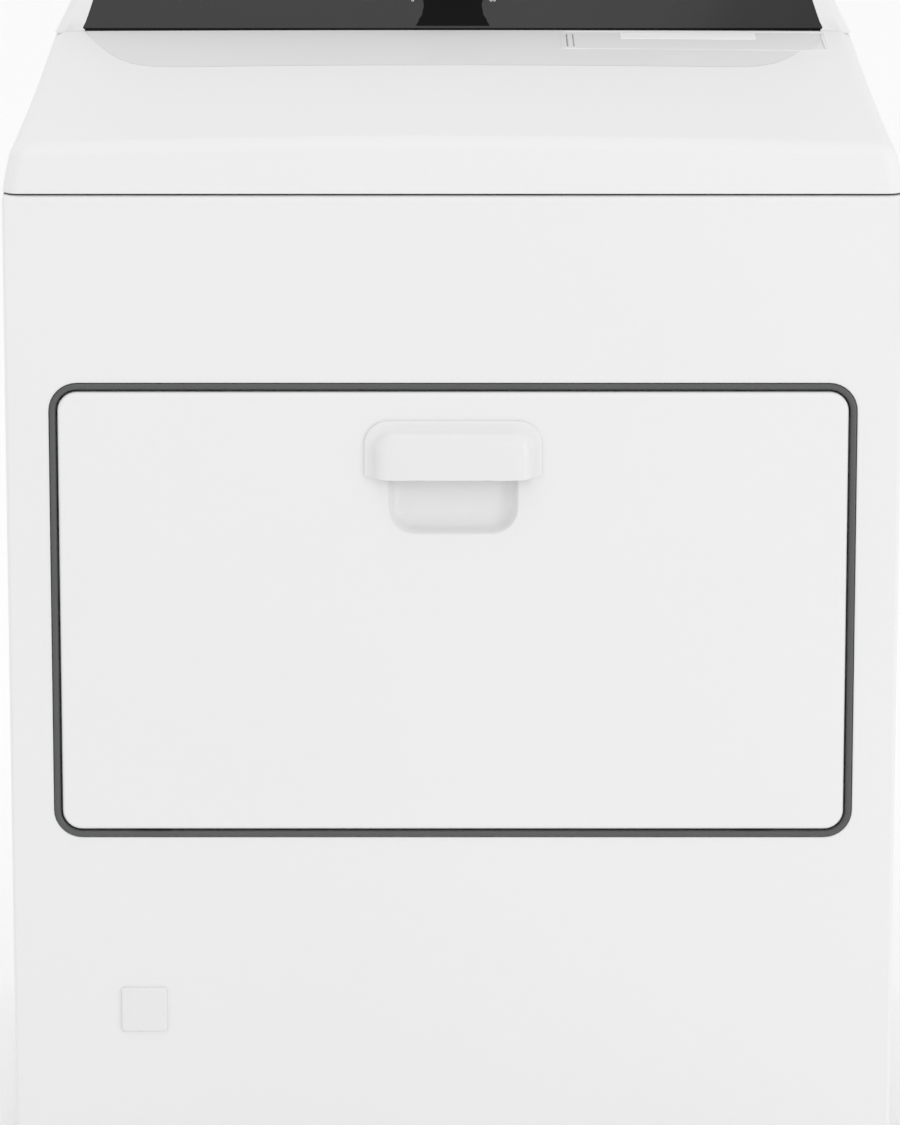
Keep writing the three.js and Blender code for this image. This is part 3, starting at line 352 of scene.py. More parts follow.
def piece(name, shell, body, slot, material=None, stands_for=(), matrix=None, soft=0.0, sharp=38):
    obj = linked(name, mesh_of(name, shell, matrix))
    if soft:
        soften(obj, soft)
    return dress(obj, body, slot, material, stands_for, sharp)


def box_shell(x0, x1, y0, y1, z0, z1):
    low = [(x0, y0, z0), (x1, y0, z0), (x1, y1, z0), (x0, y1, z0)]
    return loft([low, [(x, y, z1) for x, y, _ in low]], first=True, last=True)


def turned(profile, steps=48, axis="y", centre=(0, 0, 0), closed=False):
    """A solid of revolution. profile holds (radius, distance along the axis)."""
    rings = []
    for radius, along in profile:
        ring = []
        for i in range(steps):
            a = TAU * i / steps
            c, s = max(radius, 0.001) * math.cos(a), max(radius, 0.001) * math.sin(a)
            spot = {"y": (c, along, s), "z": (c, s, along), "x": (along, c, s)}[axis]
            ring.append(tuple(p + q for p, q in zip(spot, centre)))
        rings.append(ring)
    return loft(rings, first=not closed, last=not closed, around=closed)


def screw(x, y, z, axis="y", out=-1, radius=4.2, height=2.0):
    """A hexagon-washer screw head that stands out along an axis."""
    washer = [(radius * 1.25, 0), (radius * 1.25, out * height * 0.3), (radius * 1.1, out * height * 0.42)]
    hexagon = [(radius * 0.92, out * height * 0.42), (radius * 0.92, out * height * 0.9),
               (radius * 0.78, out * height), (0.01, out * height)]
    return merged(turned(washer + [(0.01, out * height * 0.42)], 20, axis, (x, y, z)),
                  turned(hexagon, 6, axis, (x, y, z)))


def sheet(name, shell, thickness, body, slot, cuts=(), matrix=None, outward=False, **looks):
    """A piece that is thickened, when it has a thickness, and then cut."""
    obj = linked(name, mesh_of(name, shell, matrix))
    if thickness:
        thicken(obj, thickness, outward)
    carve(obj, *cuts)
    return dress(obj, body, slot, **looks)


# ---- Cabinet front: rolled edges, the recess for the door and the mouth into the drum ----
RECESS = {"width": 664.8, "height": 386.2, "corner": 23.4, "floor": -314.0}
MOUTH = {"width": 560.0, "height": 300.0, "corner": 55.0}


def cabinet_front():
    middle = (SEAM + BOTTOM) / 2
    outer = framed(middle, 2 * HALF, SEAM - BOTTOM, 3.6)
    recess = framed(DOOR_Z, RECESS["width"], RECESS["height"], RECESS["corner"])
    mouth = framed(MOUTH_Z, MOUTH["width"], MOUTH["height"], MOUTH["corner"], 8)
    roll = 3.4
    rings = [outer(-326.0), outer(FRONT + roll)]
    rings += [outer(FRONT + roll - s, roll - c) for c, s in arc(roll, 15, 90, 5)]
    rings += [outer(FRONT, roll + 2.0)]
    rings += [recess(FRONT, -2.4), recess(FRONT, -1.0), recess(FRONT + 0.3, -0.3), recess(FRONT + 1.0)]
    floor = RECESS["floor"]
    rings += [recess(floor - 2.2), recess(floor - 0.6, 0.6), recess(floor, 2.2)]
    rings += [mouth(floor, -9.0), mouth(floor + 0.4, -6.2), mouth(floor + 1.9, -3.0), mouth(floor + 4.4, -0.8),
              mouth(floor + 7.4), mouth(-301.6)]
    catch_slot = box_shell(-17, 17, -320, -308, 680.5, 699.2)
    plunger_hole = box_shell(146, 154, -320, -308, 685.8, 693.9)
    sheet("cabinet_front", loft(rings), SHEET, "cabinet", "white_enamel", (catch_slot, plunger_hole),
          stands_for=("front_panel",))


def side_panel(side):
    """One bent sheet: a joggle under the front's rolled edge, a plain side and a flange at the back."""
    word = "left" if side < 0 else "right"
    section = [(366.6, -334.0), (366.6, -326.6), (367.2, -326.0), (367.9, -325.7), (HALF, -325.2)]
    section += [(HALF, -322)]
    section += [(HALF, 307.0)] + [(HALF - 3.4 + c, 307.0 + s) for c, s in arc(3.4, 0, 90, 5)]
    section += [(353.4, 310.4)]
    hem = 1.0
    rings = []
    for z, inset in ((BOTTOM + 0.2, 0.5), (BOTTOM + hem, 0.0), (300, 0), (600, 0), (SEAM - hem, 0.0),
                     (SEAM - 0.2, 0.5)):
        rings.append([(side * (x - (inset if x > 367 else 0)), y, z) for x, y in section])
    sheet("side_" + word, loft(rings, closed=False), THIN_SHEET, "cabinet", "white_enamel",
          stands_for=("side_panel_" + word,))


# ---- Door ----
def door_skin():
    width, height, corner = 650.5, 371.7, 16.0
    edge = framed(DOOR_Z, width, height, corner)
    roll = 2.6
    rings = [edge(-321.6), edge(DOOR_FACE + roll)]
    rings += [edge(DOOR_FACE + roll - s, roll - c) for c, s in arc(roll, 15, 90, 5)]
    rings += [edge(DOOR_FACE, roll + 1.5)]
    hole = framed(618.9, 108.4, 76.2, 23.0)
    rings += [hole(DOOR_FACE, -0.8), hole(DOOR_FACE), hole(DOOR_FACE + 3.2, -0.3)]
    notches = [box_shell(x - 14.6, x + 14.6, -337.85, -315, 326, 346) for x in HINGES]
    sheet("door_skin", loft(rings), SHEET, "door", "white_enamel", notches, stands_for=("door_outer_panel",))


def trim_ring():
    """The dark round bead about the door, and a dark sheet of painted shade on the wall of the recess behind
    it.
    """
    outer = framed(DOOR_Z, 664.0, 385.4, 23.0, 12)
    front = -339.2
    section = [(-334.4, 0.0), (front + 1.6, 0.0), (front + 0.8, 0.4), (front + 0.25, 1.1), (front, 2.0),
               (front + 0.1, 2.9), (front + 0.5, 3.8), (front + 1.2, 4.6), (front + 2.2, 5.2),
               (front + 3.4, 5.5), (-334.4, 5.5)]
    bead = loft([outer(y, inset) for y, inset in section], around=True)
    piece("door_trim_bead", bead, "cabinet", "grey_trim", LOOKS["bead"], ("door_trim_ring",), sharp=60)
    # Painted shade: a dark sheet in the shadow colour lines the recess wall between the bead and the door,
    # standing in for the shade in that gap.
    lip = framed(DOOR_Z, 664.0 - 9.1, 385.4 - 9.1, 18.4, 12)
    recess = framed(DOOR_Z, RECESS["width"], RECESS["height"], RECESS["corner"], 12)
    shade_rings = [lip(-334.3), lip(-333.0, -0.4), recess(-331.0, 1.4), recess(-316.0, 1.4), recess(-316.0, 0.7),
             recess(-331.6, 0.7), recess(-334.3, 1.0)]
    piece("door_recess_painted_shade", loft(shade_rings, around=True), "cabinet", "rubber", LOOKS["shadow_line"])


HOOD = {"half": 73.2, "low": 629.0, "high": 677.0, "corner": 20.0}


def hood_arch(inset, y, steps=14, sides=10):
    """An arch of the handle's hood: up one side, round the top corners and down the other."""
    half = HOOD["half"] - inset
    high = HOOD["high"] - inset
    low = HOOD["low"]
    corner = max(0.3, min(HOOD["corner"] - inset * 0.35, high - low - 0.2, half))
    turns = [math.pi / 2 * i / steps for i in range(steps + 1)]
    points = [(-half, low + (high - corner - low) * i / sides) for i in range(sides)]
    points += [(-half + corner - corner * math.cos(a), high - corner + corner * math.sin(a)) for a in turns]
    points += [(half - corner + corner * math.sin(a), high - corner + corner * math.cos(a)) for a in turns]
    points += [(half, high - corner - (high - corner - low) * (i + 1) / sides) for i in range(sides)]
    result = []
    for x, z in points:
        near_end = max(0.0, (abs(x) - 55.0) / (HOOD["half"] - 55.0))
        close_to_foot = max(0.0, 1.0 - (z - low) / 12.0)
        result.append((x, y, z + 2.2 * near_end ** 2 * close_to_foot))
    return result


def door_handle():
    """A crowned hood on a thin flange, over a finger pocket with soft walls, in one white moulding; the pocket
    is painted the lighter enamel white, as painted light against the hood's shade.
    """
    seat = DOOR_FACE - 0.05
    steps = [(0.0, seat), (0.0, seat - 1.2), (0.35, seat - 1.8), (1.1, seat - 2.1), (2.4, seat - 2.2),
             (6.4, seat - 2.25), (7.3, seat - 2.6), (8.0, seat - 3.6), (8.8, seat - 5.2), (10.0, seat - 7.1),
             (11.8, seat - 9.0), (14.2, seat - 10.4), (17.4, seat - 11.3), (21.5, seat - 11.9),
             (27.0, seat - 12.25), (34.0, seat - 12.4), (41.0, seat - 12.42), (47.9, seat - 12.42)]
    sheet("handle_hood", loft([hood_arch(i, y) for i, y in steps], closed=False), 2.2, "door", "white_plastic",
          stands_for=("door_handle",), sharp=50)

    pocket = framed(618.9, 108.4, 76.2, 23.0, 10)
    face = DOOR_FACE
    profile = [(0.0, face), (0.35, face + 0.1), (0.9, face + 0.45), (1.6, face + 1.2), (2.6, face + 2.6),
               (3.9, face + 4.4), (5.5, face + 6.3), (7.5, face + 7.9), (10.2, face + 9.1), (13.4, face + 9.8),
               (17.0, face + 10.0)]
    # Painted light: the pocket takes the lighter enamel white, not the moulding's own, to offset the shade the
    # hood casts into it.
    sheet("handle_pocket", loft([pocket(y, inset) for inset, y in profile], last=True), 1.3, "door",
          "white_plastic", material=LOOKS["white_enamel"], stands_for=("door_handle",), sharp=60)


def access_plug():
    ring = {"x": -259.0, "z": 172.0, "size": 38.4}

    def at(y, inset):
        return upright(rounded(ring["x"], ring["z"], ring["size"] - 2 * inset, ring["size"] - 2 * inset,
                               2.6, 6), y)
    rings = [at(-329.4, 1.6), at(-337.9, 1.6), at(-337.95, 0.1), at(-339.1, 0.0), at(-339.7, 0.3),
             at(-340.05, 0.9), at(-340.15, 1.8), at(-340.2, 8.0)]
    piece("access_plug_cap", loft(rings, first=True, last=True), "cabinet", "white_plastic",
          stands_for=("access_plug",), sharp=50)


# ---- Top: a leaning fascia, a soft shoulder and a crowned upper surface ----
TOP = {"round": 14.0, "draft": 4.8, "edge": 12.0, "rear": REAR, "back_corner": 5.0}


def crown(x, y):
    """Height of the top's upper surface: it rises to the middle along the front, and up to the console."""
    along = min(1.0, max(0.0, (y - FRONT) / (CONSOLE_FRONT - FRONT)))
    dome = 1.0 - (x / HALF) ** 2
    front = 903.8 + 6.6 * dome
    back = 919.6 + 0.9 * dome
    return front + (back - front) * along ** 2.2


def top_outline(inset, rear_inset, corner, steps=10):
    half = HALF - inset
    front = FRONT + inset
    rear = TOP["rear"] - rear_inset
    corner = max(0.5, corner)
    back = max(0.5, min(TOP["back_corner"], corner))
    points = []
    for cx, cy, start, radius in (
            (half - corner, front + corner, -90, corner), (half - back, rear - back, 0, back),
            (-half + back, rear - back, 90, back), (-half + corner, front + corner, 180, corner)):
        points += [(cx + radius * math.cos(math.radians(start + 90 * i / steps)),
                    cy + radius * math.sin(math.radians(start + 90 * i / steps))) for i in range(steps + 1)]
    dense = []
    spans = {steps: 12, 2 * steps + 1: 18, 3 * steps + 2: 12, 4 * steps + 3: 18}
    for i, p in enumerate(points):
        dense.append(p)
        if i in spans:
            q = points[(i + 1) % len(points)]
            k = spans[i]
            dense += [(p[0] + (q[0] - p[0]) * j / k, p[1] + (q[1] - p[1]) * j / k) for j in range(1, k)]
    return dense


def top_shell():
    rings = []
    edge = TOP["edge"]
    for z, inset in ((865.2, 3.0), (865.2, 1.2), (865.4, 0.4), (866.0, 0.0)):
        rings.append([(x, y, z) for x, y in top_outline(inset, inset, TOP["round"] - inset)])
    for share in (0.25, 0.5, 0.75, 1.0):
        inset = TOP["draft"] * share ** 1.25
        rings.append([(x, y, 866.0 + (crown(x, y) - edge - 866.0) * share)
                      for x, y in top_outline(inset, 0, TOP["round"])])
    for i in range(1, 9):
        turn = math.radians(90 * i / 8)
        inset = TOP["draft"] + edge * 1.25 * (1 - math.cos(turn))
        rear = 1.5 * (1 - math.cos(turn))
        rings.append([(x, y, crown(x, y) - edge * (1 - math.sin(turn)))
                      for x, y in top_outline(inset, rear, TOP["round"])])
    for inset in (24, 30, 40, 56, 78, 106, 140, 178, 216, 252, 286, 314):
        rear = inset - 18
        corner = max(1.0, TOP["round"] - (inset - 20) * 0.1)
        rings.append([(x, y, crown(x, y)) for x, y in top_outline(inset, rear, corner)])
    sheet("top_shell", loft(rings, last=True), 1.4, "cabinet", "white_enamel", (lid_hole(),),
          material=LOOKS["top"], stands_for=("top_panel",), sharp=50)


def on_crown(outline, low, high):
    """A closed plate whose two faces follow the crown at two heights above it."""
    rings = [[(x, y, crown(x, y) + height) for x, y in outline] for height in (low, high)]
    return loft(rings, first=True, last=True)


def lid_hole():
    return on_crown(rounded(LID["x"], LID["y"], 232.0, 80.0, 3.0), -20.0, 20.0)


def top_shelf():
    """A thin polished layer before the console, with curved ends: only there does the top mirror it."""
    edge = ((235.4, 333.0), (210.0, 328.5), (183.0, 321.0), (150.0, 312.5), (121.0, 303.5), (98.0, 295.0),
            (80.0, 286.0), (68.0, 276.0), (60.0, 265.0), (56.0, 252.0), (54.5, 240.0))
    lift = 0.12
    across = 24
    rings = []
    for y, half in edge:
        row = [half * (2 * i / across - 1) for i in range(across + 1)]
        rings.append([(x, y, crown(x, y) + lift) for x in row])
    sheet("top_shelf", loft(rings, closed=False), 0.08, "cabinet", "white_enamel", (lid_hole(),), outward=True,
          material=LOOKS["shelf"], sharp=50)


# ---- Lint screen: a lid with a raised rim, and the framed mesh that hangs from it ----
LID = {"x": 217.5, "y": 185.0, "width": 240.6, "depth": 89.2}
SCREEN_TILT = Matrix.Translation((LID["x"], 205.0, 916.0)) @ Matrix.Rotation(math.atan(0.2), 4, "X")


def lint_lid():
    def at(height, inset):
        outline = rounded(LID["x"], LID["y"], LID["width"] - 2 * inset, LID["depth"] - 2 * inset,
                          5.0 - inset * 0.5, 6)
        return [(x, y, crown(x, y) + height) for x, y in outline]
    rings = [at(-8.0, 5.5), at(-2.0, 5.5), at(-1.9, 0.1), at(0.2, 0.0), at(0.6, 0.3), at(0.75, 0.9),
             at(0.75, 1.9), at(0.55, 2.5), at(0.3, 2.9), at(0.25, 4.0)]
    left = LID["x"] - LID["width"] / 2
    right = LID["x"] + LID["width"] / 2

    def slot(x0, x1, y0, y1, depth):
        return on_crown([(x0, y0), (x1, y0), (x1, y1), (x0, y1)], -depth, 6.0)
    slots = [slot(left + x, left + x + 1.3, 152, 218, 2.2) for x in (5.0, 10.5)]
    grip = slot(right - 12, right - 4.5, 150, 222, 1.8)
    sheet("lint_lid", loft(rings, first=True, last=True), 0, "lint_screen", "white_plastic", (*slots, grip),
          material=LOOKS["lid"], stands_for=("lint_screen",), sharp=35)
    low, high = LID["x"] - 66, LID["x"] + 56
    label = on_crown([(low, 194), (high, 194), (high, 222), (low, 222)], 0.0, 0.45)
    piece("lint_lid_label", label, "lint_screen", "white_plastic", LOOKS["paper"])


def lint_mesh():
    """A moulded frame with cross bars round a woven screen, in the lid's tilted plane."""
    half, low, high = 112.0, -268.0, -8.0
    outer = rounded(0, (low + high) / 2, 2 * half, high - low, 10)
    inner = rounded(0, (low + high) / 2, 2 * half - 14, high - low - 14, 6)
    rings = [upright(outer, -4.4), upright(inner, -4.4), upright(inner, 4.4), upright(outer, 4.4)]
    shells = [loft(rings, around=True)]
    for x in (-56, 0, 56):
        shells.append(box_shell(x - 1.6, x + 1.6, -3.4, 3.4, low + 6, high - 6))
    for z in (-72, -138, -204):
        shells.append(box_shell(-half + 6, half - 6, -3.0, 3.0, z - 1.6, z + 1.6))
    shells.append(box_shell(-60, 60, -6, 6, -10, 2))
    piece("lint_frame", merged(*shells), "lint_screen", "white_plastic", matrix=SCREEN_TILT, soft=0.4)
    wires = []
    pitch = 4.0
    for i in range(int((2 * half - 14) / pitch)):
        x = -half + 8 + i * pitch
        wires.append(box_shell(x - 0.35, x + 0.35, -0.35, 0.35, low + 6, high - 6))
    for i in range(int((high - low - 14) / pitch)):
        z = low + 8 + i * pitch
        wires.append(box_shell(-half + 6, half - 6, -0.3, 0.3, z - 0.35, z + 0.35))
    piece("lint_weave", merged(*wires), "lint_screen", "steel", LOOKS["mesh"], matrix=SCREEN_TILT)


# ---- Console ----
GLASS = {"low": 0.7, "high": 120.6, "half": 335.6, "narrow": 21.5}


def console_half(z):
    rise = min(1.0, max(0.0, (z - 917.4) / 115.0))
    return 329.0 + 33.0 * (1 - rise) ** 2


def console_ring(z, inset=0.0, corner=9.0, steps=8):
    half = console_half(z) - inset
    front = CONSOLE_FRONT + max(0.0, z - CONSOLE_FOOT) * math.tan(LEAN) + inset * 0.9
    rear = REAR - inset
    corner = min(corner, (rear - front) / 2 - 0.05)
    middle = (front + rear) / 2
    return [(x, y, z) for x, y in rounded(0, middle, 2 * half, rear - front, corner, steps)]


def glass_outline(grow=0.0, steps=14):
    low, high = GLASS["low"] - grow, GLASS["high"] + grow
    right = []
    for i in range(steps + 1):
        share = i / steps
        s = low + (high - 11 - low) * share
        right.append((GLASS["half"] + grow - GLASS["narrow"] * (1 - (1 - share) ** 1.7), s))
    edge = right[-1][0]
    right += [(edge - 11 + 11 * math.cos(math.radians(a)), high - 11 + 11 * math.sin(math.radians(a)))
              for a in (15, 30, 45, 60, 75, 90)]
    foot = [(GLASS["half"] + grow - 2.2, low), (GLASS["half"] + grow - 0.7, low + 0.6)]
    right = foot + [(x, max(s, low + 2.2)) for x, s in right]
    return right + [(-x, s) for x, s in reversed(right)]


def on_face(outline, y0, y1, bevel=0.0):
    """A plate on the console's face from depth y0 (outer) to y1, with a small bevel round its outer edge."""
    xs = [x for x, _ in outline]
    zs = [z for _, z in outline]
    cx, cz = (min(xs) + max(xs)) / 2, (min(zs) + max(zs)) / 2
    wide, tall = (max(xs) - min(xs)) / 2, (max(zs) - min(zs)) / 2
    drawn = [(cx + (x - cx) * (1 - bevel / wide), cz + (z - cz) * (1 - bevel / tall)) for x, z in outline]
    rings = [upright(outline, y1), upright(outline, y0 + bevel)]
    if bevel:
        rings.append(upright(drawn, y0))
    return loft(rings, first=True, last=True)


def disc_outline(x, s, radius, steps=40):
    turns = [TAU * i / steps for i in range(steps)]
    return [(x + radius * math.cos(a), s + radius * math.sin(a)) for a in turns]


MARK = (-1.84, -1.5)
BUTTONS = {"power_button": -268.0, "temperature_button": 150.0, "start_button": 268.0}


def button_outline(x, grow=0.0):
    return rounded(x, DIAL_UP, 30.0 + 2 * grow, 14.0 + 2 * grow, 4.0 + grow, 8)


def console():
    levels = [(917.2, 1.2), (917.5, 0.4), (918.4, 0.0), (921.0, 0.0)]
    levels += [(921.0 + 11.0 * i, 0.0) for i in range(1, 10)]
    levels += [(1028.0, 0.0), (1032.4, 0.35), (1034.6, 0.9), (1036.4, 1.9), (1037.4, 2.9), (1037.9, 3.8)]
    holes = [on_face(button_outline(x, 0.5), -2, 16) for x in BUTTONS.values()]
    holes = [moved(hole, FACE) for hole in holes + [on_face(disc_outline(0, DIAL_UP, 6.8), -2, 20)]]
    seat = moved(on_face(glass_outline(0.45), -6, 4.4), FACE)
    sheet("console_shell", loft([console_ring(z, i) for z, i in levels], first=True, last=True), 0, "cabinet",
          "white_plastic", (seat, *holes), stands_for=("console_housing",), sharp=30)
    glass = on_face(glass_outline(), 0.0, 4.0, 0.5)
    sheet("console_glass_panel", glass, 0, "cabinet", "dark_glass", holes, FACE, stands_for=("console_glass",),
          sharp=30)

    gasket = on_face(rounded(0, 0.2, 668.0, 2.6, 0.6, 3), -0.4, 1.5)
    piece("console_gasket", gasket, "cabinet", "dark_glass", LOOKS["gloss_black"], matrix=FACE)

    # A darker band down the glass below and above the dial, narrow at its waist and widened round the dial.
    waist = ((3.8, 33.5), (9, 31.0), (16, 27.6), (24, 26.4), (32, 27.5), (100, 27.0), (110, 26.4),
             (120.2, 28.5))
    right = []
    for i in range(91):
        s = 3.8 + (120.2 - 3.8) * i / 90
        for (s0, w0), (s1, w1) in zip(waist, waist[1:]):
            if s0 <= s <= s1:
                share = (s - s0) / (s1 - s0)
                share = share * share * (3 - 2 * share)
                half = w0 + (w1 - w0) * share
        reach = 46.0 ** 2 - (s - DIAL_UP) ** 2
        right.append((max(half, math.sqrt(reach) if reach > 0 else 0.0), s))
    outline = right + [(-x, s) for x, s in reversed(right)]
    piece("console_dark_band", on_face(outline, -0.12, 0.06), "cabinet", "dark_glass", LOOKS["gloss_black"], matrix=FACE)


def bar(x, s, width, height, lift=0.16):
    return on_face(rounded(x, s, width, height, height * 0.45, 3), -lift, 0.1)


def turned_bar(radius, angle, length, width, lift=0.24):
    """A tick that points away from the dial's centre."""
    c, s = math.cos(angle), math.sin(angle)
    half = width / 2
    corners = [(radius, -half), (radius + length, -half), (radius + length, half), (radius, half)]
    outline = [(a * c - b * s, DIAL_UP + a * s + b * c) for a, b in corners]
    return on_face(outline, -lift, 0.0)


def legends():
    """Generic marks: ticks round the dial, rows of short bars for the settings and indicator dots."""
    marks = []
    for i in range(25):
        angle = math.radians(225 - 270 * i / 24)
        long = i % 4 == 0
        marks.append(turned_bar(35.0, angle, 4.2 if long else 2.4, 0.7 if long else 0.45))
    rows = ((-91, -19), (49, 100), (198, 222), (-250, -210))
    for start, end in rows:
        x = start
        step = 0
        while x < end - 4:
            width = (5.0, 3.2, 6.4, 4.2)[step % 4]
            marks.append(bar(x + width / 2, 30.0, width, 0.8))
            x += width + 1.5
            step += 1
    for column in (-196, -128, 92, 186):
        for row in range(5):
            s = 44 + row * 11.5
            marks.append(on_face(disc_outline(column, s, 1.1, 12), -0.16, 0.1))
            marks.append(bar(column + 12, s, 12.0 + 3 * (row % 3), 1.2))
    for x in (-288, 130, 248):
        marks.append(bar(x + 20, 52.0, 18, 1.1))
    piece("console_legends", merged(*marks), "cabinet", "dark_glass", LOOKS["legend"], matrix=FACE)
    radius = 51.5
    for i, number in enumerate(("0", "20", "40", "60", "80")):
        angle = math.radians(225 - 270 * i / 4)
        curve = bpy.data.curves.new("dial_number", "FONT")
        curve.body = number
        curve.size = 6.2
        curve.align_x = "CENTER"
        curve.align_y = "CENTER"
        curve.extrude = 0.1
        curve.resolution_u = 3
        text = linked("text", curve)
        bpy.context.view_layer.update()
        mesh = bpy.data.meshes.new_from_object(text.evaluated_get(bpy.context.evaluated_depsgraph_get()))
        bpy.data.objects.remove(text)
        spot = Matrix.Translation((radius * math.cos(angle), -0.1, DIAL_UP + radius * math.sin(angle)))
        mesh.transform(Matrix.Scale(MM, 4) @ FACE @ spot @ Matrix.Rotation(math.pi / 2, 4, "X"))
        dress(linked("dial_number_" + number, mesh), "cabinet", "dark_glass", LOOKS["legend"], sharp=30)


def dial():
    """A fluted knob of satin metal with a dished cap and a pointer."""
    flutes = 36
    steps = flutes * 6
    profile = [(6.0, -1.4, 0), (30.2, -1.4, 0), (30.9, -2.0, 0), (30.9, -3.4, 0), (30.2, -4.1, 0),
               (27.4, -4.7, 0), (26.6, -5.4, 0), (26.1, -6.6, 0.35), (25.6, -14.2, 0.45), (25.2, -20.8, 0.4),
               (24.6, -22.4, 0.2), (23.6, -23.5, 0), (22.4, -23.5, 0), (21.2, -23.5, 0), (20.2, -23.5, 0),
               (18.6, -23.3, 0), (9.0, -23.1, 0)]
    rings = []
    for radius, y, wave in profile:
        ring = []
        for i in range(steps):
            a = TAU * i / steps
            r = radius + wave * math.cos(flutes * a)
            ring.append((r * math.cos(a), y, DIAL_UP + r * math.sin(a)))
        rings.append(ring)
    piece("dial_knob", loft(rings, first=True, last=True), "dial", "satin_dial", matrix=FACE,
          stands_for=("control_dial",), sharp=32)
    stem = turned([(5.8, -3.0), (5.8, 26.0), (5.2, 27.0)], 32, "y", (0, 0, DIAL_UP))
    piece("dial_stem", stem, "dial", "steel", matrix=FACE)
    pointer = on_face(rounded(0, DIAL_UP + 15.5, 1.8, 9.0, 0.8, 4), -24.0, -22.6, 0.15)
    piece("dial_pointer", pointer, "dial", "dark_glass", LOOKS["shadow_line"], matrix=FACE)


def buttons():
    for name, x in BUTTONS.items():
        def at(y, inset, x=x):
            return upright(rounded(x, DIAL_UP, 30 - 2 * inset, 14 - 2 * inset, 4 - inset * 0.6, 8), y)
        rings = [at(7.8, 0.6), at(-0.9, 0.1), at(-1.35, 0.3), at(-1.65, 0.8), at(-1.8, 1.6), at(-1.72, 3.2),
                 at(-1.66, 5.0)]
        piece(name + "_cap", loft(rings, first=True, last=True), name, "dark_glass", LOOKS["gloss_black"],
              matrix=FACE, stands_for=(name,), sharp=50)
        marks = []
        if name == "power_button":
            outline = [(x + a, DIAL_UP + b) for a, b in arc(2.9, 120, 420, 24) + arc(2.3, 120, 420, 24)[::-1]]
            marks.append(on_face(outline, *MARK))
            marks.append(on_face(rounded(x, DIAL_UP + 2.3, 0.7, 3.0, 0.2, 2), *MARK))
        elif name == "start_button":
            arrow = [(x - 5.6, DIAL_UP - 2.6), (x - 1.4, DIAL_UP), (x - 5.6, DIAL_UP + 2.6)]
            marks.append(on_face(arrow, *MARK))
            for across in (1.8, 4.4):
                marks.append(on_face(rounded(x + across, DIAL_UP, 1.2, 5.0, 0.2, 2), *MARK))
        else:
            for row, width in ((-2.4, 4.0), (0.0, 7.0), (2.4, 10.0)):
                marks.append(on_face(rounded(x, DIAL_UP + row, width, 1.0, 0.4, 3), *MARK))
        piece(name + "_mark", merged(*marks), name, "dark_glass", LOOKS["legend"], matrix=FACE)


# ---- Inside of the door ----
def door_liner():
    """The pressed inner panel: a flange, a soft-edged dish that fills the mouth, and a sunk middle."""
    edge = framed(DOOR_Z, 646.5, 367.7, 14.0)
    dish = framed(MOUTH_Z, 540.0, 280.0, 46.0, 8)
    rings = [edge(-321.2, 0.5), edge(-320.9), edge(-320.4, 0.1), edge(-320.1, 0.7)]
    rings += [dish(y, inset) for y, inset in (
        (-320.1, -8.0), (-319.8, -5.0), (-318.6, -2.2), (-316.0, -0.5), (-310.0, 0.5), (-306.4, 1.6),
        (-304.4, 3.8), (-303.4, 7.6), (-303.2, 12.0), (-303.2, 27.0), (-303.8, 30.0), (-306.4, 32.0),
        (-309.0, 33.4), (-310.2, 36.0), (-310.4, 42.0))]
    notches = [box_shell(x - 14.8, x + 14.8, -330, -314, 326, 345.6) for x in HINGES]
    sheet("door_liner", loft(rings, last=True), 1.1, "door", "white_plastic", notches,
          stands_for=("door_inner_panel",), sharp=50)

    ribs = []
    for z in (MOUTH_Z - 52, MOUTH_Z, MOUTH_Z + 52):
        outline = rounded(0, z, 380, 9.0, 4.4, 6)
        soft = rounded(0, z, 376, 5.0, 2.4, 6)
        ribs.append(loft([upright(outline, -311.0), upright(outline, -310.0), upright(soft, -308.4)],
                         first=True, last=True))
    piece("door_liner_ribs", merged(*ribs), "door", "white_plastic")

    heads = [screw(x, -320.3, z, "y", 1) for x in (-308, 308) for z in (375, 470, 560, 655)]
    heads += [screw(x, -320.3, z, "y", 1) for x in (-200, -90, 90, 200) for z in (345, 686)]
    piece("door_liner_screws", merged(*heads), "door", "steel")

    seal = framed(MOUTH_Z, 586.0, 322.0, 62.0, 12)
    section = [(-320.2, 0.0), (-317.4, -1.2), (-315.6, -0.4), (-314.7, 1.8), (-314.6, 4.0), (-315.4, 6.2),
               (-317.2, 7.4), (-320.2, 6.6)]
    piece("door_seal", loft([seal(y, inset) for y, inset in section], around=True), "door", "rubber", sharp=60)


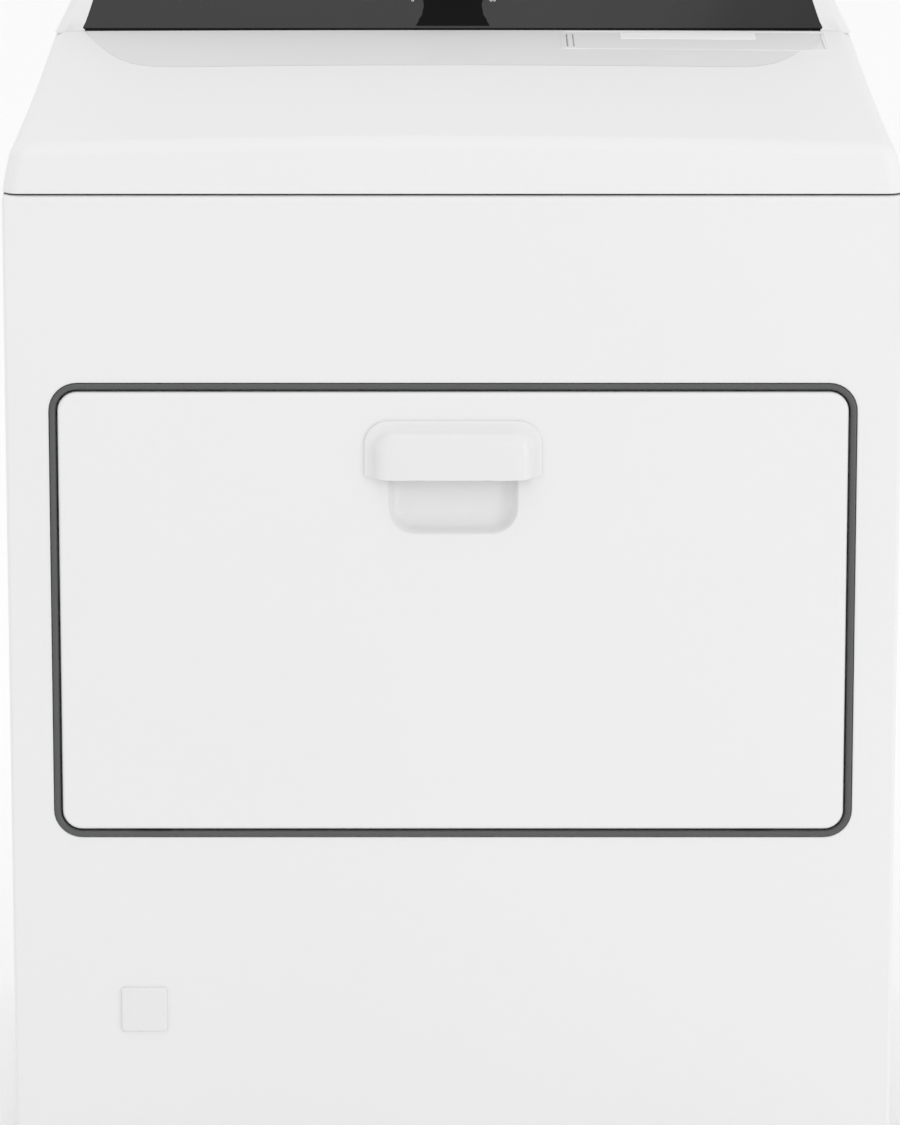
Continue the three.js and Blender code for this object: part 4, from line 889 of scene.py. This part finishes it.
# ---- Drum ----
def drum():
    """The drum's shell with rolled ends and pressed beads, drawn as one wall of revolution."""
    wall = 1.2
    outer = []
    for y in range(-288, 181, 4):
        bead = sum(2.4 * math.exp(-((y - centre) / 5.0) ** 2) for centre in (-226, -150, 76, 130))
        outer.append((DRUM_RADIUS - 0.2 - bead, float(y)))
    inner = [(r - wall, y) for r, y in reversed(outer)]
    lip = [(DRUM_RADIUS - 0.8, -288.0)]
    shell = turned(lip + outer + inner, 120, "y", (0, 0, DRUM_Z), closed=True)
    piece("drum_shell", shell, "drum", "drum_enamel", stands_for=("drum",), sharp=50)

    section = ((-41, 0.0), (-36, 1.6), (-30, 6.5), (-23, 17.0), (-17, 30.0), (-12.5, 42.0), (-9.2, 50.0),
               (-5.2, 54.6), (0, 56.2))
    section = section + tuple((-across, up) for across, up in reversed(section[:-1]))
    stations = [(-235, 0.10), (-232, 0.26), (-226, 0.48), (-217, 0.70), (-205, 0.87), (-190, 0.97), (-172, 1.0),
                (-100, 1.0), (0, 1.0), (80, 1.0), (104, 0.97), (122, 0.86), (136, 0.66), (145, 0.40),
                (150, 0.14)]
    for index, turn in enumerate((90, 210, 330)):
        axis = math.radians(turn)
        rings = []
        for y, share in stations:
            ring = []
            for across, up in section:
                wide = across * (0.82 + 0.18 * share)
                seat = math.sqrt((DRUM_RADIUS - 1.6) ** 2 - wide ** 2)
                reach = seat - up * share
                ring.append((reach * math.cos(axis) - wide * math.sin(axis), y,
                             DRUM_Z + reach * math.sin(axis) + wide * math.cos(axis)))
            rings.append(ring)
        piece(f"drum_lifter_{index + 1}", loft(rings, first=True, last=True), "drum", "drum_enamel",
              stands_for=(f"drum_baffle_{index + 1}",), sharp=60)


def perforated(x0, x1, z0, z1, pitch, hole, y0, y1):
    """A flat plate of square cells, each with an eight-sided hole."""
    verts, faces = [], []
    columns, rows = int((x1 - x0) / pitch), int((z1 - z0) / pitch)
    for i in range(columns):
        for j in range(rows):
            cx, cz = x0 + (i + 0.5) * pitch, z0 + (j + 0.5) * pitch
            half = pitch / 2
            rim = [(half, 0), (half, half), (0, half), (-half, half), (-half, 0), (-half, -half), (0, -half),
                   (half, -half)]
            bore = [(hole * math.cos(TAU * k / 8), hole * math.sin(TAU * k / 8)) for k in range(8)]
            base = len(verts)
            for y in (y0, y1):
                verts += [(cx + a, y, cz + b) for a, b in rim] + [(cx + a, y, cz + b) for a, b in bore]
            for k in range(8):
                m = (k + 1) % 8
                faces.append((base + k, base + m, base + 8 + m, base + 8 + k))
                faces.append((base + 16 + k, base + 24 + k, base + 24 + m, base + 16 + m))
                faces.append((base + 8 + k, base + 8 + m, base + 24 + m, base + 24 + k))
    return verts, faces


def drum_back():
    """The fixed wall behind the drum: pressed rings, and two perforated air grilles in raised frames."""
    profile = [(0.01, 187.6), (60, 187.6), (66, 187.2), (72, 185.6), (78, 185.2), (84, 185.6), (90, 187.2),
               (96, 187.6), (286, 187.6), (290, 187.0), (295, 184.8), (300, 184.2), (305, 184.8), (310, 187.0),
               (315.8, 187.6), (315.8, 187.9), (0.01, 187.9)]
    grilles = {"heat_grille": -185.0, "lint_grille": 185.0}
    windows = [box_shell(x - 70, x + 70, 180, 192, 532, 678) for x in grilles.values()]
    wall = turned(profile, 96, "y", (0, 0, DRUM_Z))
    sheet("drum_back_wall", wall, 0, "cabinet", "galvanised", windows, sharp=50)
    for name, x in grilles.items():
        plate = perforated(x - 72, x + 72, 533, 677, 12.0, 4.0, 186.2, 186.9)
        rim = [rounded(x, 605, 150 - 2 * i, 152 - 2 * i, 9 - i, 6) for i in (0, 1, 2.4, 4.2)]
        depths = ((0, 187.5), (0, 186.0), (1, 184.9), (2, 184.9), (3, 186.3), (3, 187.5))
        frame_ring = loft([upright(rim[i], y) for i, y in depths], around=True)
        piece(name, merged(plate, frame_ring), "cabinet", "galvanised", sharp=40)
        # Behind each grille is a thin plate in the shadow colour: painted shade seen through the holes.
        piece(name + "_duct", box_shell(x - 71, x + 71, 187.2, 187.5, 534, 676), "cabinet", "galvanised",
              LOOKS["shadow_line"])
    rivets = [screw(0, 187.6, DRUM_Z + z, "y", -1, 4.0, 1.8) for z in (-40, 0, 40)]
    piece("drum_back_screws", merged(*rivets), "cabinet", "steel")
    for name, node, y0, y1 in (("front_bearing_ring", "front_drum_bearing", -290.6, -273.0),
                               ("rear_felt_ring", "rear_felt_seal", 162.2, 177.8)):
        ring = [(318.4, y0 + 1.5), (319.6, y0), (332.2, y0), (333.4, y0 + 1.5), (333.4, y1 - 1.5), (332.2, y1),
                (319.6, y1), (318.4, y1 - 1.5)]
        piece(name, turned(ring, 96, "y", (0, 0, DRUM_Z), closed=True), "cabinet", "felt", stands_for=(node,),
              sharp=60)


# ---- Back, exhaust, gas inlet and feet ----
def back_panel():
    edge = framed((SEAM + BOTTOM) / 2, 2 * HALF - 0.4, SEAM - BOTTOM - 0.4, 2.4)
    rings = [edge(310.9, 0.6), edge(311.5), edge(311.9, 0.5), edge(312.0, 1.2), edge(312.0, 9.0),
             edge(312.3, 10.0), edge(312.9, 11.4), edge(313.1, 13.0)]
    holes = [turned([(radius, 300), (radius, 325)], steps, "y", spot)
             for radius, steps, spot in ((52.8, 64, EXHAUST), (12, 40, GAS_INLET), (11, 40, CORD_HOLE))]
    holes += [box_shell(-298, -232, 300, 325, 761 - 14 * row, 764.4 - 14 * row) for row in range(6)]
    sheet("back_sheet", loft(rings, last=True), THIN_SHEET, "cabinet", "white_enamel", holes,
          stands_for=("rear_panel",), sharp=40)

    hoods = []
    for row in range(6):
        z = 764.4 - 14 * row
        rings = []
        for x, share in ((-301, 0.12), (-299, 0.6), (-296, 0.9), (-290, 1.0), (-240, 1.0), (-234, 0.9),
                         (-231, 0.6), (-229, 0.12)):
            reach = 1.35 * share
            section = [(313.0, 4.0), (313.0 + reach * 0.6, 2.6), (313.0 + reach, 0.0), (313.0 + reach, -3.2),
                       (313.0 + reach - 0.25, -3.2), (313.0 + reach * 0.7, 0.0), (312.9, 2.4)]
            rings.append([(x, y, z + up) for y, up in section])
        hoods.append(loft(rings, first=True, last=True))
    piece("back_louvres", merged(*hoods), "cabinet", "white_enamel", sharp=50)

    cover = [upright(rounded(-188, 214, 250 - 2 * i, 156 - 2 * i, 8 - i, 6), y)
             for y, i in ((312.9, 0.0), (313.6, 0.0), (313.9, 0.5), (313.9, 3.0))]
    piece("back_cover", loft(cover, first=True, last=True), "cabinet", "galvanised", sharp=40)
    label = upright(rounded(160, 640, 96, 62, 3, 4), 313.1)
    piece("back_label", loft([label, [(x, 313.3, z) for x, _, z in label]], first=True, last=True), "cabinet",
          "white_plastic", LOOKS["paper"])

    spots = [(x, z) for x in (-361.5, 361.5) for z in (150, 330, 510, 690, 830)]
    spots += [(x, 20.5) for x in (-240, -90, 90, 240)] + [(x, 857) for x in (-300, -150, 0, 150, 300)]
    heads = [screw(x, 312.0, z, "y", 1, 3.6, 2.2) for x, z in spots]
    heads += [screw(-188 + x, 313.8, 214 + z, "y", 1, 3.2, 0.7) for x in (-116, 0, 116) for z in (-69, 69)]
    piece("back_screws", merged(*heads), "cabinet", "steel")

    rim = [(11.2, 309.0), (11.2, 314.2), (11.8, 314.5), (14.0, 314.5), (15.0, 314.0), (15.0, 313.2),
           (12.2, 312.8), (12.2, 309.0)]
    piece("cord_grommet", turned(rim, 40, "y", CORD_HOLE, closed=True), "cabinet", "black_plastic", sharp=50)


def exhaust():
    wall = [(50.0, 250.0), (50.0, 351.6), (50.4, 352.0), (50.8, 351.6), (50.8, 336.0), (50.8, 334.0),
            (50.3, 333.0), (50.3, 331.0), (50.8, 330.0), (50.8, 318.0), (50.3, 317.0), (50.3, 315.6),
            (50.8, 314.6), (50.8, 250.0)]
    pipe = turned(wall, 72, "y", EXHAUST, closed=True)
    piece("exhaust_pipe", pipe, "cabinet", "galvanised", stands_for=("exhaust_duct",), sharp=40)
    rings = []
    for x, high, deep in ((-50, 60, 30), (-42, 88, 44), (-30, 100, 50), (0, 102, 52), (60, 102, 52),
                          (119.5, 96, 50)):
        rings.append([(x, y, z) for y, z in rounded(270, EXHAUST[2], deep, high, 12, 5)])
    bore = turned([(50.0, 262), (50.0, 330)], 48, "y", EXHAUST)
    sheet("exhaust_elbow", loft(rings, first=True), THIN_SHEET, "cabinet", "galvanised", (bore,), sharp=40)


def gas_fitting():
    nut = turned([(11.6, 318.5), (12.0, 319.2), (12.0, 328.2), (11.4, 329.0)], 6, "y", GAS_INLET)
    thread = [(8.1, 329.0)]
    for i in range(4):
        thread += [(8.9, 329.4 + i * 1.1), (8.2, 329.9 + i * 1.1)]
    thread += [(8.0, 333.8)]
    piece("gas_inlet_fitting", merged(nut, turned(thread, 32, "y", GAS_INLET)), "cabinet", "brass", sharp=35)


def feet():
    for name, x, y in (("foot_front_left", -318, -288), ("foot_front_right", 318, -288),
                       ("foot_rear_left", -318, 262), ("foot_rear_right", 318, 262)):
        pad = [(16.6, 0.0), (18.2, 0.3), (19.0, 1.4), (19.0, 5.2), (18.4, 6.4), (15.0, 9.0), (11.0, 10.4),
               (9.6, 11.0)]
        piece(name + "_pad", turned(pad, 48, "z", (x, y, 0)), name, "rubber", stands_for=(name,), sharp=40)
        thread = []
        for i in range(18):
            thread += [(4.5, 10.8 + i * 1.25), (3.9, 11.4 + i * 1.25)]
        thread += [(3.8, 33.6)]
        nut = [(9.0, 10.9), (9.5, 11.3), (9.5, 13.2), (9.0, 13.6)]
        stud = merged(turned(thread, 24, "z", (x, y, 0)), turned(nut, 6, "z", (x, y, 0)))
        piece(name + "_stud", stud, name, "steel", sharp=35)


# ---- Stage: floor, light and camera ----
def stage():
    reach = 30000.0
    corners = [(across * reach, along * reach, -0.4) for across, along in ((-1, -1), (1, -1), (1, 1), (-1, 1))]
    mesh = bpy.data.meshes.new("floor")
    mesh.from_pydata([(x * MM, y * MM, z * MM) for x, y, z in corners], [], [(0, 1, 2, 3)])
    floor = linked("floor", mesh)
    n = Nodes("floor_paper")
    n.shader.inputs["Base Color"].default_value = (0.955, 0.955, 0.955, 1)
    n.link(n.span(n.noise(1.5, 2.0), 0.6, 0.8), n.shader.inputs["Roughness"])
    mesh.materials.append(n.material)

    world = bpy.data.worlds.new("studio")
    world.use_nodes = True
    world.node_tree.nodes["Background"].inputs["Color"].default_value = (1.0, 1.0, 1.0, 1)
    world.node_tree.nodes["Background"].inputs["Strength"].default_value = 1.0
    bpy.context.scene.world = world

    def lamp(name, place, aim, width, height, power):
        light = bpy.data.lights.new(name, "AREA")
        light.shape = "RECTANGLE"
        light.size = width
        light.size_y = height
        light.energy = power
        obj = bpy.data.objects.new(name, light)
        bpy.context.scene.collection.objects.link(obj)
        obj.location = place
        obj.rotation_euler = (Vector(aim) - Vector(place)).to_track_quat("-Z", "Y").to_euler()

    lamp("side", (3.4, -2.6, 1.1), (0, -0.3, 0.7), 0.9, 2.4, 22)
    lamp("overhead", (-0.6, -1.2, 3.8), (0, 0, 0.9), 2.4, 1.4, 9)


def camera():
    """A long lens that looks down a little, with the shift that the photograph's framing needs."""
    data = bpy.data.cameras.new("camera")
    data.lens = 189.0
    data.sensor_width = 36.0
    data.sensor_fit = "AUTO"
    data.shift_y = -0.0845
    data.clip_end = 200
    obj = bpy.data.objects.new("camera", data)
    bpy.context.scene.collection.objects.link(obj)
    obj.location = (-0.0025, -5.094, 1.656)
    look_down = 12.09
    obj.rotation_euler = (math.radians(90 - look_down), 0, 0)
    bpy.context.scene.camera = obj


def finish_cad():
    """Gives every CAD node that stays in view its slot's look, and soft edges."""
    slots = {row["node"]: row["material_slot"] for row in frame["record"]["subparts"]}
    for name, obj in frame["nodes"].items():
        if obj.hide_render:
            continue
        finish = LOOKS[slots[name]]
        if obj.material_slots:
            for place in obj.material_slots:
                place.material = finish
        else:
            obj.data.materials.append(finish)
        weld = obj.modifiers.new("weld", "WELD")
        weld.merge_threshold = 0.00001
        soften(obj, 0.5, 50, 2)


cabinet_front()
side_panel(-1)
side_panel(1)
door_skin()
trim_ring()
door_handle()
access_plug()
top_shell()
top_shelf()
lint_lid()
lint_mesh()
console()
legends()
dial()
buttons()
door_liner()
drum()
drum_back()
back_panel()
exhaust()
gas_fitting()
feet()
finish_cad()
stage()
camera()
bpy.context.scene.view_settings.view_transform = "Standard"
